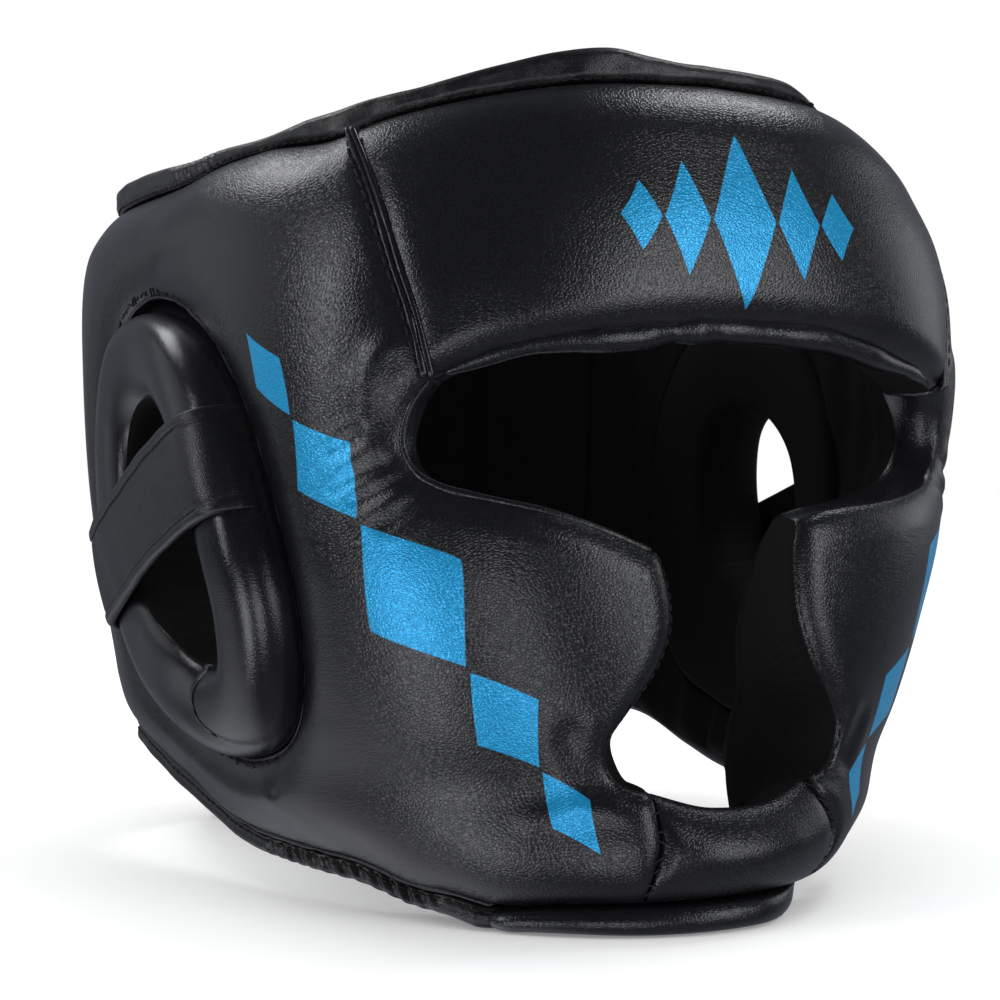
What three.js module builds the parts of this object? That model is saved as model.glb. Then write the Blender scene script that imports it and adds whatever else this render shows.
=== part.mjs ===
import * as THREE from 'three';

// Boxing head guard with cheek and chin protection, standing on its chin cup and nape.
// Millimetres, +Z up, the face looks along -Y and +X is the wearer's left.
// A bearing is in degrees round the head from the middle of the face.
// A girth is the same place in millimetres along the outside at GIRTH_LEVEL.

const FIT_GAP = 0.3; // clear space between two sewn pieces
const WALL = 21; // padded wall before the rows of PADDING are added
const EDGE_GAP = 0.6; // from a panel's edge to the band along it, wide enough for both to be faceted
const GIRTH_LEVEL = 100;

// Level sections of the outside form, with a squareness for its face half and its neck half.
const SECTIONS = [
  { height: -10, halfWidth: 80, front: 112, back: 112, faceSquareness: 2.1, neckSquareness: 2.7 },
  { height: 10, halfWidth: 88, front: 121, back: 118, faceSquareness: 2.1, neckSquareness: 2.75 },
  { height: 22, halfWidth: 92.5, front: 122.5, back: 120, faceSquareness: 2.1, neckSquareness: 2.95 },
  { height: 38, halfWidth: 97, front: 123.5, back: 122, faceSquareness: 2.13, neckSquareness: 2.95 },
  { height: 52, halfWidth: 100, front: 124, back: 123.5, faceSquareness: 2.35, neckSquareness: 2.8 },
  { height: 75, halfWidth: 105, front: 124, back: 125, faceSquareness: 2.64, neckSquareness: 2.8 },
  { height: 95, halfWidth: 108, front: 124, back: 126, faceSquareness: 2.92, neckSquareness: 2.85 },
  { height: 125, halfWidth: 110.3, front: 125, back: 126.5, faceSquareness: 3.02, neckSquareness: 2.9 },
  { height: 157, halfWidth: 111.2, front: 125, back: 125, faceSquareness: 3, neckSquareness: 2.95 },
  { height: 176, halfWidth: 109.5, front: 123, back: 121, faceSquareness: 2.85, neckSquareness: 3.05 },
  { height: 192, halfWidth: 105, front: 119.5, back: 115, faceSquareness: 2.6, neckSquareness: 3.1 },
  { height: 206, halfWidth: 99, front: 116, back: 109, faceSquareness: 2.5, neckSquareness: 3.1 },
  { height: 224, halfWidth: 91, front: 110, back: 102, faceSquareness: 2.4, neckSquareness: 3 },
];

// Places where the outside swells beyond those sections.
const SWELLINGS = [
  { name: 'chin', bearing: 0, height: 20, bearingSpread: 20, heightSpread: 17, extra: 4.8 },
  { name: 'cheek', bearing: 26, height: 74, bearingSpread: 16, heightSpread: 26, extra: 1.5 },
];

// Extra padding in the wall, a smooth swelling round one place on each side.
const PADDING = [
  { name: 'brow', bearing: 0, height: 178, bearingSpread: 34, heightSpread: 45, extra: 5 },
  { name: 'cheek', bearing: 20, height: 72, bearingSpread: 17, heightSpread: 32, extra: 19 },
  { name: 'eye_corner', bearing: 42, height: 122, bearingSpread: 12, heightSpread: 16, extra: -6 },
  { name: 'jaw', bearing: 45, height: 35, bearingSpread: 22, heightSpread: 28, extra: 4 },
  { name: 'ear', bearing: 88, height: 98, bearingSpread: 34, heightSpread: 62, extra: 4 },
];

// Upper and lower edges of the panels.
const TOP_EDGE = [
  { bearing: 0, height: 211.5 },
  { bearing: 17, height: 210 },
  { bearing: 29, height: 207 },
  { bearing: 42, height: 202.4 },
  { bearing: 56, height: 196.2 },
  { bearing: 81, height: 192 },
  { bearing: 120, height: 190 },
  { bearing: 180, height: 189 },
];
const LOW_EDGE = [
  { bearing: 0, height: 9 },
  { bearing: 20, height: 8.4 },
  { bearing: 31, height: 8.2 },
  { bearing: 38, height: 11.6 },
  { bearing: 47, height: 14.8 },
  { bearing: 62, height: 16 },
  { bearing: 83, height: 19 },
  { bearing: 102, height: 28 },
  { bearing: 120, height: 37 },
  { bearing: 134, height: 34 },
  { bearing: 146, height: 18.5 },
  { bearing: 156, height: 8 },
  { bearing: 165, height: 6 },
  { bearing: 180, height: 5.7 },
];

// Seams and open edges of the face on the wearer's left.
// The flare carries the inner edge back from the face.
const TEMPLE_SEAM = [
  { bearing: 36.5, height: 137 },
  { bearing: 38, height: 150.8 },
  { bearing: 40.2, height: 165 },
  { bearing: 43, height: 181 },
  { bearing: 48, height: 199.6 },
];
const EYE_EDGE = [
  { bearing: 36.5, height: 137, flare: 0 },
  { bearing: 38.8, height: 130, flare: 0 },
  { bearing: 39.6, height: 122, flare: 0 },
  { bearing: 38.2, height: 115, flare: 1 },
  { bearing: 35, height: 111, flare: 2 },
  { bearing: 30, height: 108.6, flare: 3 },
  { bearing: 22, height: 105.2, flare: 6 },
  { bearing: 14, height: 101, flare: 11 },
  { bearing: 9.4, height: 97.4, flare: 13 },
];
const CHEEK_EDGE = [
  { bearing: 9.4, height: 97.4, flare: 13 },
  { bearing: 8.5, height: 89, flare: 14 },
  { bearing: 8.7, height: 78, flare: 13 },
  { bearing: 10.8, height: 67, flare: 9 },
  { bearing: 14.2, height: 57, flare: 2 },
  { bearing: 16.8, height: 48, flare: -6 },
  { bearing: 16.4, height: 41.6, flare: -7 },
  { bearing: 14.2, height: 37.6, flare: -3 },
  { bearing: 11.3, height: 35.8, flare: 0 },
];
const CHIN_SEAM = [
  { bearing: 11.3, height: 35.8 },
  { bearing: 11.2, height: 27 },
  { bearing: 11, height: 18 },
  { bearing: 10.8, height: 9 },
];
const REAR_SEAM = [
  { bearing: 134, height: 34 },
  { bearing: 132, height: 70 },
  { bearing: 131, height: 120 },
  { bearing: 132, height: 189.7 },
];
const BROW_EDGE = [
  { bearing: 0, height: 147.5 },
  { bearing: 9, height: 147 },
  { bearing: 18, height: 145 },
  { bearing: 27, height: 141.4 },
  { bearing: 36.5, height: 137 },
];
const CHIN_TOP = [
  { bearing: 0, height: 31 },
  { bearing: 5, height: 32 },
  { bearing: 11.3, height: 35.8 },
];

// How a panel rounds off at its borders: how far the outside and the lining sink, and over what width.
const ROUNDING = {
  seam: { sink: 4.5, width: 14, liningSink: 1.5, liningWidth: 8 },
  ring: { sink: 6, width: 16, liningSink: 1.5, liningWidth: 8 },
  top: { sink: 7, width: 14, liningSink: 2, liningWidth: 8 },
  low: { sink: 4, width: 10, liningSink: 3, liningWidth: 9 },
  eye: { sink: 5, width: 11, liningSink: 3, liningWidth: 8 },
  brow: { sink: 7, width: 13, liningSink: 4, liningWidth: 9 },
  cheek: { sink: 4, width: 9, liningSink: 4, liningWidth: 9 },
  chin: { sink: 6, width: 11, liningSink: 7, liningWidth: 12, liningDrop: 9 },
};

// Ear ring: its middle line ahead of the side of the head, and how far it stands out of the form.
const RING_HALF_WIDTH = 13;
const RING_GAP = 0.6; // from the ring to the hole it sits in, wide enough for both to be faceted
const RING_ROOT = -6; // level of the ring's two creases
const RING_BACK = -23; // level of its lining face
const RING_STEPS = 38;
const RING_LINE = [
  { name: 'top', ahead: -2, height: 149.5, rise: 4 },
  { name: 'top_front', ahead: 21, height: 143.5, rise: 6 },
  { name: 'front_upper', ahead: 39.5, height: 127, rise: 8 },
  { name: 'front_middle', ahead: 50.5, height: 104, rise: 9 },
  { name: 'front_lower', ahead: 56, height: 78, rise: 9 },
  { name: 'front_foot', ahead: 50, height: 58, rise: 9 },
  { name: 'bottom', ahead: 31, height: 51, rise: 8 },
  { name: 'bottom_middle', ahead: 10, height: 53.5, rise: 8 },
  { name: 'bottom_rear', ahead: -12, height: 61, rise: 7 },
  { name: 'rear_lower', ahead: -27, height: 79, rise: 6 },
  { name: 'rear_middle', ahead: -33, height: 104, rise: 5 },
  { name: 'rear_upper', ahead: -30, height: 130, rise: 4 },
  { name: 'top_rear', ahead: -19, height: 145, rise: 4 },
];

// Ear strap: a flat strap that climbs from the rear of the ring to its front.
const STRAP_WIDTH = 28;
const STRAP_THICKNESS = 2.4;
const STRAP_CLEARANCE = 0.55; // keeps the facets of strap and ring apart
const STRAP_TUCK = 12; // its ends stop this far from the ring's middle line
const STRAP_REAR = -60; // where the search for its ends begins, ahead of the side of the head
const STRAP_FRONT = 80;
const STRAP_LEVEL = 96.5; // height of its middle at the side of the head
const STRAP_CLIMB = 0.39; // height gained for each millimetre forward
const STRAP_STEPS = 24;

// Bands along the upper and lower edges, as rounded bars.
const TOP_RIM = { outside: 5.5, inside: 16, round: 2.4 };
const TOP_RIM_TALL = [
  { bearing: -180, tall: 6.6 },
  { bearing: -120, tall: 6.6 },
  { bearing: -60, tall: 5.8 },
  { bearing: -40, tall: 6.6 },
  { bearing: -20, tall: 8.2 },
  { bearing: 0, tall: 7 },
  { bearing: 18, tall: 4.6 },
  { bearing: 36, tall: 3 },
  { bearing: 75, tall: 3.6 },
  { bearing: 120, tall: 5.8 },
  { bearing: 180, tall: 6.6 },
];
const BOTTOM_RIM = { outside: 3.2, inside: 13, tall: 5.1, round: 1.8, firstBearing: 27 };
const CHIN_CUP = { outside: 1.5, inside: 23, footOutside: 6.5, footInside: 18 };
const CUP_FOOT = [
  { bearing: 0, height: 0 },
  { bearing: 14, height: 0 },
  { bearing: 15, height: 0 },
  { bearing: 20, height: 0.8 },
  { bearing: 26.2, height: 3.6 },
];

const radians = THREE.MathUtils.degToRad;

// A smooth curve through the rows of a table, read by column name.
function curveThrough(rows, along) {
  const last = rows.length - 1;
  const slope = (column, k) => {
    const before = rows[Math.max(k - 1, 0)];
    const after = rows[Math.min(k + 1, last)];
    return (after[column] - before[column]) / (after[along] - before[along]);
  };
  return (value, column) => {
    let k = 0;
    while (k < last - 1 && value > rows[k + 1][along]) k += 1;
    const span = rows[k + 1][along] - rows[k][along];
    const t = THREE.MathUtils.clamp((value - rows[k][along]) / span, 0, 1);
    const rise = rows[k + 1][column] - rows[k][column];
    const leave = slope(column, k) * span;
    const arrive = slope(column, k + 1) * span;
    const bend = 3 * rise - 2 * leave - arrive + t * (leave + arrive - 2 * rise);
    return rows[k][column] + t * (leave + t * bend);
  };
}

const sectionCurve = curveThrough(SECTIONS, 'height');
const topCurve = curveThrough(TOP_EDGE, 'bearing');
const lowCurve = curveThrough(LOW_EDGE, 'bearing');
const browCurve = curveThrough(BROW_EDGE, 'bearing');
const chinTopCurve = curveThrough(CHIN_TOP, 'bearing');
const rimTallCurve = curveThrough(TOP_RIM_TALL, 'bearing');
const cupFootCurve = curveThrough(CUP_FOOT, 'bearing');

function foldBearing(bearing) {
  const turned = Math.abs(bearing) % 360;
  return turned > 180 ? 360 - turned : turned;
}
const topHeight = (bearing) => topCurve(foldBearing(bearing), 'height');
const lowHeight = (bearing) => lowCurve(foldBearing(bearing), 'height');

// The sum of the smooth swellings in a table at one place, alike on both sides.
function swellingAt(rows, bearing, height) {
  let total = 0;
  for (const row of rows) {
    const across = (foldBearing(bearing) - row.bearing) / row.bearingSpread;
    const upwards = (height - row.height) / row.heightSpread;
    total += row.extra * Math.exp(-across * across - upwards * upwards);
  }
  return total;
}

// A point of the form, moved inwards by a depth along the level normal and upwards by a lift.
function formPoint(bearing, height, depth = 0, lift = 0) {
  const alongX = Math.sin(radians(bearing));
  const alongY = -Math.cos(radians(bearing));
  const facing = alongY < 0;
  const halfWidth = sectionCurve(height, 'halfWidth');
  const reach = sectionCurve(height, facing ? 'front' : 'back');
  const power = sectionCurve(height, facing ? 'faceSquareness' : 'neckSquareness');
  const size = Math.abs(alongX / halfWidth) ** power + Math.abs(alongY / reach) ** power;
  const radius = size ** (-1 / power);
  const x = radius * alongX;
  const y = radius * alongY;
  const normal = new THREE.Vector2(
    Math.sign(x) * Math.abs(x / halfWidth) ** (power - 1) / halfWidth,
    Math.sign(y) * Math.abs(y / reach) ** (power - 1) / reach,
  ).normalize();
  const inwards = depth - swellingAt(SWELLINGS, bearing, height);
  return new THREE.Vector3(x - normal.x * inwards, y - normal.y * inwards, height + lift);
}

// Girths at the measuring level, one for each half degree.
const girthTable = [0];
for (let k = 1; k <= 400; k += 1) {
  const step = formPoint(k / 2, GIRTH_LEVEL).distanceTo(formPoint((k - 1) / 2, GIRTH_LEVEL));
  girthTable.push(girthTable[k - 1] + step);
}
function girthOf(bearing) {
  const k = Math.min(Math.floor(bearing * 2), 399);
  return THREE.MathUtils.lerp(girthTable[k], girthTable[k + 1], bearing * 2 - k);
}
function bearingOf(girth) {
  let k = 0;
  while (k < 399 && girthTable[k + 1] < girth) k += 1;
  return (k + (girth - girthTable[k]) / (girthTable[k + 1] - girthTable[k])) / 2;
}
const SIDE_GIRTH = girthOf(90);

const wallThickness = (bearing, height) => WALL + swellingAt(PADDING, bearing, height);

// Places from one border to the other, close together where the panel rounds off.
const NEAR_STEPS = [0, 3, 9];
const NEAR_SHARES = [0, 0.07, 0.2];
const MIDDLE_STEPS = 5;
function rayPlaces(length) {
  const near = NEAR_STEPS.map((step, k) => Math.min(step / length, NEAR_SHARES[k]));
  const places = [...near];
  const first = near[near.length - 1];
  for (let k = 1; k < MIDDLE_STEPS; k += 1) {
    places.push(THREE.MathUtils.lerp(first, 1 - first, k / MIDDLE_STEPS));
  }
  return [...places, ...near.map((place) => 1 - place).reverse()];
}

// An edge of a panel as points of girth, height and flare, evenly spaced.
function edgePoints(rows, count) {
  const points = rows.map((row) => new THREE.Vector3(girthOf(row.bearing), row.height, row.flare ?? 0));
  return new THREE.CatmullRomCurve3(points).getSpacedPoints(count);
}
function seamPoints(rows) {
  const points = rows.map((row) => new THREE.Vector3(girthOf(row.bearing), row.height, 0));
  const curve = new THREE.CatmullRomCurve3(points);
  return rayPlaces(curve.getLength()).map((place) => curve.getPointAt(place));
}
function heightEdge(firstBearing, lastBearing, heightAt, count) {
  const points = [];
  for (let k = 0; k <= count; k += 1) {
    const bearing = THREE.MathUtils.lerp(firstBearing, lastBearing, k / count);
    points.push(new THREE.Vector3(girthOf(bearing), heightAt(bearing), 0));
  }
  return points;
}

function distanceToLine(girth, height, line) {
  let nearest = Infinity;
  for (let k = 0; k + 1 < line.length; k += 1) {
    const spanX = line[k + 1].x - line[k].x;
    const spanY = line[k + 1].y - line[k].y;
    const ahead = girth - line[k].x;
    const above = height - line[k].y;
    const along = (ahead * spanX + above * spanY) / (spanX * spanX + spanY * spanY);
    const t = THREE.MathUtils.clamp(along, 0, 1);
    nearest = Math.min(nearest, Math.hypot(ahead - spanX * t, above - spanY * t));
  }
  return nearest;
}

// How far the outside and the lining sink at one place of a panel, and how far its lining drops.
function sinkAt(girth, height, borders) {
  let outside = 0;
  let lining = 0;
  let drop = 0;
  for (const border of borders) {
    const shape = ROUNDING[border.kind];
    const away = distanceToLine(girth, height, border.line);
    const quarter = (sink, width) => sink * (1 - Math.sqrt(1 - Math.max(1 - away / width, 0) ** 2));
    outside += quarter(shape.sink, shape.width) ** 3;
    lining += quarter(shape.liningSink, shape.liningWidth) ** 3;
    drop += quarter(shape.liningDrop ?? 0, shape.liningWidth);
  }
  return { outside: Math.cbrt(outside), lining: Math.cbrt(lining), drop };
}

// One corner of a panel: the point outside and the point on its lining.
function panelCorner(bearing, liningBearing, height, sink) {
  const liningDepth = wallThickness(liningBearing, height) - sink.lining;
  return {
    outside: formPoint(bearing, height, sink.outside),
    lining: formPoint(liningBearing, height, liningDepth, -sink.drop),
  };
}

// A closed skin from rows of points that share their count. Rings close on themselves, and open ends get a cap.
function skin(rows, { closedAcross, closedAlong, flip = false }) {
  const count = rows[0].length;
  const corners = rows.flat();
  const index = [];
  const rowSteps = closedAlong ? rows.length : rows.length - 1;
  const columnSteps = closedAcross ? count : count - 1;
  const triangle = (a, b, c) => index.push(...(flip ? [a, c, b] : [a, b, c]));
  for (let i = 0; i < rowSteps; i += 1) {
    for (let j = 0; j < columnSteps; j += 1) {
      const a = i * count + j;
      const b = i * count + (j + 1) % count;
      const c = ((i + 1) % rows.length) * count + (j + 1) % count;
      const d = ((i + 1) % rows.length) * count + j;
      triangle(a, b, c);
      triangle(a, c, d);
    }
  }
  if (!closedAlong) {
    const lastRow = (rows.length - 1) * count;
    for (let j = 0; j + 1 < count - 1 - j; j += 1) {
      const opposite = count - 1 - j;
      triangle(j, opposite, j + 1);
      triangle(lastRow + j, lastRow + j + 1, lastRow + opposite);
      if (opposite - 1 > j + 1) {
        triangle(j + 1, opposite, opposite - 1);
        triangle(lastRow + j + 1, lastRow + opposite - 1, lastRow + opposite);
      }
    }
  }
  return { corners, index };
}

// A slab from a grid of panel corners, with walls along its open borders.
function slab(grid, { closed }) {
  const last = grid[0].length - 1;
  const corners = [];
  for (const row of grid) for (const corner of row) corners.push(corner.outside, corner.lining);
  const at = (i, j, side) => ((i % grid.length) * (last + 1) + j) * 2 + side;
  const index = [];
  const quad = (a, b, c, d) => index.push(a, b, c, a, c, d);
  const steps = closed ? grid.length : grid.length - 1;
  for (let i = 0; i < steps; i += 1) {
    for (let j = 0; j < last; j += 1) {
      quad(at(i, j, 0), at(i + 1, j, 0), at(i + 1, j + 1, 0), at(i, j + 1, 0));
      quad(at(i, j, 1), at(i, j + 1, 1), at(i + 1, j + 1, 1), at(i + 1, j, 1));
    }
    quad(at(i, 0, 0), at(i, 0, 1), at(i + 1, 0, 1), at(i + 1, 0, 0));
    quad(at(i, last, 0), at(i + 1, last, 0), at(i + 1, last, 1), at(i, last, 1));
  }
  if (!closed) {
    const end = grid.length - 1;
    for (let j = 0; j < last; j += 1) {
      quad(at(0, j, 0), at(0, j + 1, 0), at(0, j + 1, 1), at(0, j, 1));
      quad(at(end, j, 0), at(end, j, 1), at(end, j + 1, 1), at(end, j + 1, 0));
    }
  }
  return { corners, index };
}

// A geometry whose triangles face outwards; mirrored bodies are turned over again.
function bodyGeometry({ corners, index }, mirrored = false) {
  const positions = [];
  for (const corner of corners) positions.push(mirrored ? -corner.x : corner.x, corner.y, corner.z);
  let volume = 0;
  const a = new THREE.Vector3();
  const b = new THREE.Vector3();
  const c = new THREE.Vector3();
  for (let k = 0; k < index.length; k += 3) {
    a.fromArray(positions, index[k] * 3);
    b.fromArray(positions, index[k + 1] * 3);
    c.fromArray(positions, index[k + 2] * 3);
    volume += a.dot(b.cross(c));
  }
  const facing = [...index];
  if (volume < 0) facing.reverse();
  const geometry = new THREE.BufferGeometry();
  geometry.setAttribute('position', new THREE.Float32BufferAttribute(positions, 3));
  geometry.setIndex(facing);
  geometry.computeVertexNormals();
  return geometry;
}

// The ear ring's middle line, its direction across, and the hole it sits in.
const ringCurve = new THREE.CatmullRomCurve3(
  RING_LINE.map((row) => new THREE.Vector3(SIDE_GIRTH - row.ahead, row.height, row.rise)),
  true,
);
function ringStations(count) {
  return ringCurve.getSpacedPoints(count).slice(0, count).map((point, k) => {
    const tangent = ringCurve.getTangentAt(k / count);
    const across = new THREE.Vector2(-tangent.y, tangent.x).normalize();
    return { point, across };
  });
}
function ringOffset(stations, distance) {
  return stations.map(({ point, across }) => new THREE.Vector3(
    point.x + across.x * distance,
    point.y + across.y * distance,
    point.z,
  ));
}
const ringMiddle = new THREE.Vector2(SIDE_GIRTH - 6, 98);
const denseRing = ringStations(160);
const outwards = Math.sign(denseRing[0].across.y);
const holeLine = ringOffset(denseRing, outwards * (RING_HALF_WIDTH + RING_GAP));
holeLine.push(holeLine[0]);

// The place on the hole at a turn, in degrees from straight ahead towards the top.
function holePoint(turn) {
  const wanted = radians(turn);
  const aim = new THREE.Vector2(-Math.cos(wanted), Math.sin(wanted));
  for (let k = 0; k + 1 < holeLine.length; k += 1) {
    const side = (point) => aim.x * (point.y - ringMiddle.y) - aim.y * (point.x - ringMiddle.x);
    const from = side(holeLine[k]);
    const to = side(holeLine[k + 1]);
    const ahead = aim.x * (holeLine[k].x - ringMiddle.x) + aim.y * (holeLine[k].y - ringMiddle.y);
    if (from * to <= 0 && from !== to && ahead > 0) {
      return holeLine[k].clone().lerp(holeLine[k + 1], from / (from - to));
    }
  }
  return holeLine[0];
}

// Side pad: rays from the ear hole to the outline.
// The turn is where the ray of an edge's first point leaves the hole.
const sideEdges = [
  { kind: 'seam', turn: 62, line: seamPoints([...TEMPLE_SEAM].reverse()) },
  { kind: 'eye', turn: 34, line: edgePoints(EYE_EDGE, 10) },
  { kind: 'cheek', turn: 4, line: edgePoints(CHEEK_EDGE, 9) },
  { kind: 'seam', turn: -34, line: seamPoints(CHIN_SEAM).filter((point, k) => k % 2 === 0) },
  { kind: 'low', turn: -56, line: heightEdge(10.8, 134, lowHeight, 14) },
  { kind: 'seam', turn: -146, line: seamPoints(REAR_SEAM) },
  { kind: 'top', turn: -226, line: heightEdge(132, 48, topHeight, 7) },
];
const SIDE_LAST_TURN = -298;
const SEAM_INSET = 0.85 * FIT_GAP;

// Rays between two closed lines, evened out so that they neither crowd nor cross.
function evenRays(starts, ends, steps, passes) {
  const rays = starts.map((from, i) => {
    const ray = [];
    for (let j = 0; j <= steps; j += 1) ray.push(from.clone().lerp(ends[i], j / steps));
    return ray;
  });
  const alongRay = new THREE.Vector2();
  const acrossRays = new THREE.Vector2();
  for (let pass = 0; pass < passes; pass += 1) {
    rays.forEach((ray, i) => {
      const before = rays[(i + rays.length - 1) % rays.length];
      const after = rays[(i + 1) % rays.length];
      for (let j = 1; j < steps; j += 1) {
        alongRay.subVectors(ray[j + 1], ray[j - 1]);
        acrossRays.subVectors(after[j], before[j]);
        const rayPull = acrossRays.lengthSq();
        const sidePull = alongRay.lengthSq();
        const shear = alongRay.dot(acrossRays) / 2;
        const total = 2 * (rayPull + sidePull);
        ray[j].set(0, 0)
          .addScaledVector(before[j], sidePull / total)
          .addScaledVector(after[j], sidePull / total)
          .addScaledVector(ray[j - 1], rayPull / total)
          .addScaledVector(ray[j + 1], rayPull / total)
          .addScaledVector(after[j + 1], -shear / total)
          .addScaledVector(after[j - 1], shear / total)
          .addScaledVector(before[j + 1], shear / total)
          .addScaledVector(before[j - 1], -shear / total);
      }
    });
  }
  return rays;
}

function sidePadGrid() {
  const borders = [{ kind: 'ring', line: holeLine }, ...sideEdges];
  const starts = [];
  const ends = [];
  const flares = [];
  sideEdges.forEach((edge, e) => {
    const nextTurn = e + 1 < sideEdges.length ? sideEdges[e + 1].turn : SIDE_LAST_TURN;
    const steps = edge.line.length - 1;
    for (let k = 0; k < steps; k += 1) {
      const from = holePoint(THREE.MathUtils.lerp(edge.turn, nextTurn, k / steps));
      const to = new THREE.Vector2(edge.line[k].x, edge.line[k].y);
      const inset = ringMiddle.clone().sub(to).normalize().multiplyScalar(SEAM_INSET);
      starts.push(new THREE.Vector2(from.x, from.y));
      ends.push(to.add(inset));
      flares.push(edge.line[k].z);
    }
  });
  return evenRays(starts, ends, 14, 120).map((ray, i) => {
    const path = new THREE.CurvePath();
    for (let j = 0; j + 1 < ray.length; j += 1) path.add(new THREE.LineCurve(ray[j], ray[j + 1]));
    return rayPlaces(path.getLength()).map((place) => {
      const spot = path.getPointAt(place);
      const sink = sinkAt(spot.x, spot.y, borders);
      return panelCorner(bearingOf(spot.x), bearingOf(spot.x + flares[i] * place ** 3), spot.y, sink);
    });
  });
}

// A panel between two mirrored seams, in front or behind. Its columns run from one seam to the other.
function middlePanelGrid({ seam, lowAt, highAt, lowKind, highKind, columns, behind = false }) {
  const fromMiddle = (girth) => (behind ? girthOf(180) - girth : girth);
  const seamLine = seamPoints(seam).map((point) => new THREE.Vector3(fromMiddle(point.x), point.y, 0));
  const foot = seamLine[0];
  const head = seamLine[seamLine.length - 1];
  const edgeLine = (reach, heightAt) => {
    const line = [];
    for (let k = 0; k <= 24; k += 1) {
      const girth = reach * k / 24;
      line.push(new THREE.Vector3(girth, heightAt(bearingOf(fromMiddle(girth))), 0));
    }
    return line;
  };
  const borders = [
    { kind: 'seam', line: seamLine },
    { kind: lowKind, line: edgeLine(foot.x, lowAt) },
    { kind: highKind, line: edgeLine(head.x, highAt) },
  ];
  const grid = [];
  for (let i = 0; i <= columns; i += 1) {
    const even = 2 * i / columns - 1;
    const share = 0.65 * even + 0.35 * Math.sin(even * Math.PI / 2);
    const low = lowAt(bearingOf(fromMiddle(foot.x * Math.abs(share))));
    const high = highAt(bearingOf(fromMiddle(head.x * Math.abs(share))));
    grid.push(seamLine.map((onSeam) => {
      const girth = (onSeam.x - SEAM_INSET) * Math.abs(share);
      const height = THREE.MathUtils.mapLinear(onSeam.y, foot.y, head.y, low, high);
      const bearing = bearingOf(fromMiddle(girth)) * Math.sign(share || 1);
      return panelCorner(bearing, bearing, height, sinkAt(girth, height, borders));
    }));
  }
  return grid;
}

// Section of the ear ring: a half round that stands on two creases, with a plain back.
function ringGrid() {
  const stations = ringStations(RING_STEPS);
  return stations.map(({ point, across }) => {
    const section = [];
    const place = (side, level) => {
      const girth = point.x + across.x * outwards * side;
      const height = point.y + across.y * outwards * side;
      section.push(formPoint(bearingOf(girth), height, -level));
    };
    for (let k = 0; k <= 7; k += 1) {
      const turn = Math.PI * k / 7;
      place(RING_HALF_WIDTH * Math.cos(turn), RING_ROOT + (point.z - RING_ROOT) * Math.sin(turn));
    }
    place(-RING_HALF_WIDTH, RING_BACK + 3);
    place(-RING_HALF_WIDTH + 3, RING_BACK);
    place(RING_HALF_WIDTH - 3, RING_BACK);
    place(RING_HALF_WIDTH, RING_BACK + 3);
    return section;
  });
}

// Distance from the ring's middle line at a place on the side of the head, and the ring's level there.
function ringAt(girth, height) {
  let away = Infinity;
  let rise = 0;
  for (const { point } of denseRing) {
    const distance = Math.hypot(girth - point.x, height - point.y);
    if (distance < away) {
      away = distance;
      rise = point.z;
    }
  }
  const round = Math.sqrt(Math.max(1 - (away / RING_HALF_WIDTH) ** 2, 0));
  return { away, level: RING_ROOT + (rise - RING_ROOT) * round };
}

// Strap: each lengthwise line lies on the ring, near its creases, and spans straight between the two crests.
function strapLine(share) {
  const slant = Math.hypot(1, STRAP_CLIMB);
  const spot = (ahead) => ({
    girth: SIDE_GIRTH - ahead + share * STRAP_WIDTH * STRAP_CLIMB / slant,
    height: STRAP_LEVEL + STRAP_CLIMB * ahead + share * STRAP_WIDTH / slant,
  });
  const awayAt = (ahead) => ringAt(spot(ahead).girth, spot(ahead).height).away;
  let rearEnd = STRAP_REAR;
  let frontEnd = STRAP_FRONT;
  while (awayAt(rearEnd) > STRAP_TUCK) rearEnd += 0.25;
  while (awayAt(frontEnd) > STRAP_TUCK) frontEnd -= 0.25;
  const line = [];
  for (let k = 0; k <= STRAP_STEPS; k += 1) {
    const place = spot(THREE.MathUtils.lerp(rearEnd, frontEnd, k / STRAP_STEPS));
    line.push({ ...place, level: ringAt(place.girth, place.height).level + STRAP_CLEARANCE });
  }
  const crest = (from, to) => {
    let best = from;
    for (let k = from; k <= to; k += 1) if (line[k].level > line[best].level) best = k;
    return best;
  };
  const half = STRAP_STEPS / 2;
  const rear = crest(0, half);
  const front = crest(half, STRAP_STEPS);
  for (let k = rear; k <= front; k += 1) {
    const bridge = THREE.MathUtils.mapLinear(k, rear, front, line[rear].level, line[front].level);
    line[k].level = Math.max(line[k].level, bridge);
  }
  return line;
}
function strapRows() {
  const lines = [-0.5, -0.17, 0.17, 0.5].map(strapLine);
  const rows = [];
  for (let k = 0; k <= STRAP_STEPS; k += 1) {
    const layer = (lift) => lines.map((line) => {
      const { girth, height, level } = line[k];
      return formPoint(bearingOf(girth), height, -level - lift);
    });
    rows.push([...layer(0), ...layer(STRAP_THICKNESS).reverse()]);
  }
  return rows;
}

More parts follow.
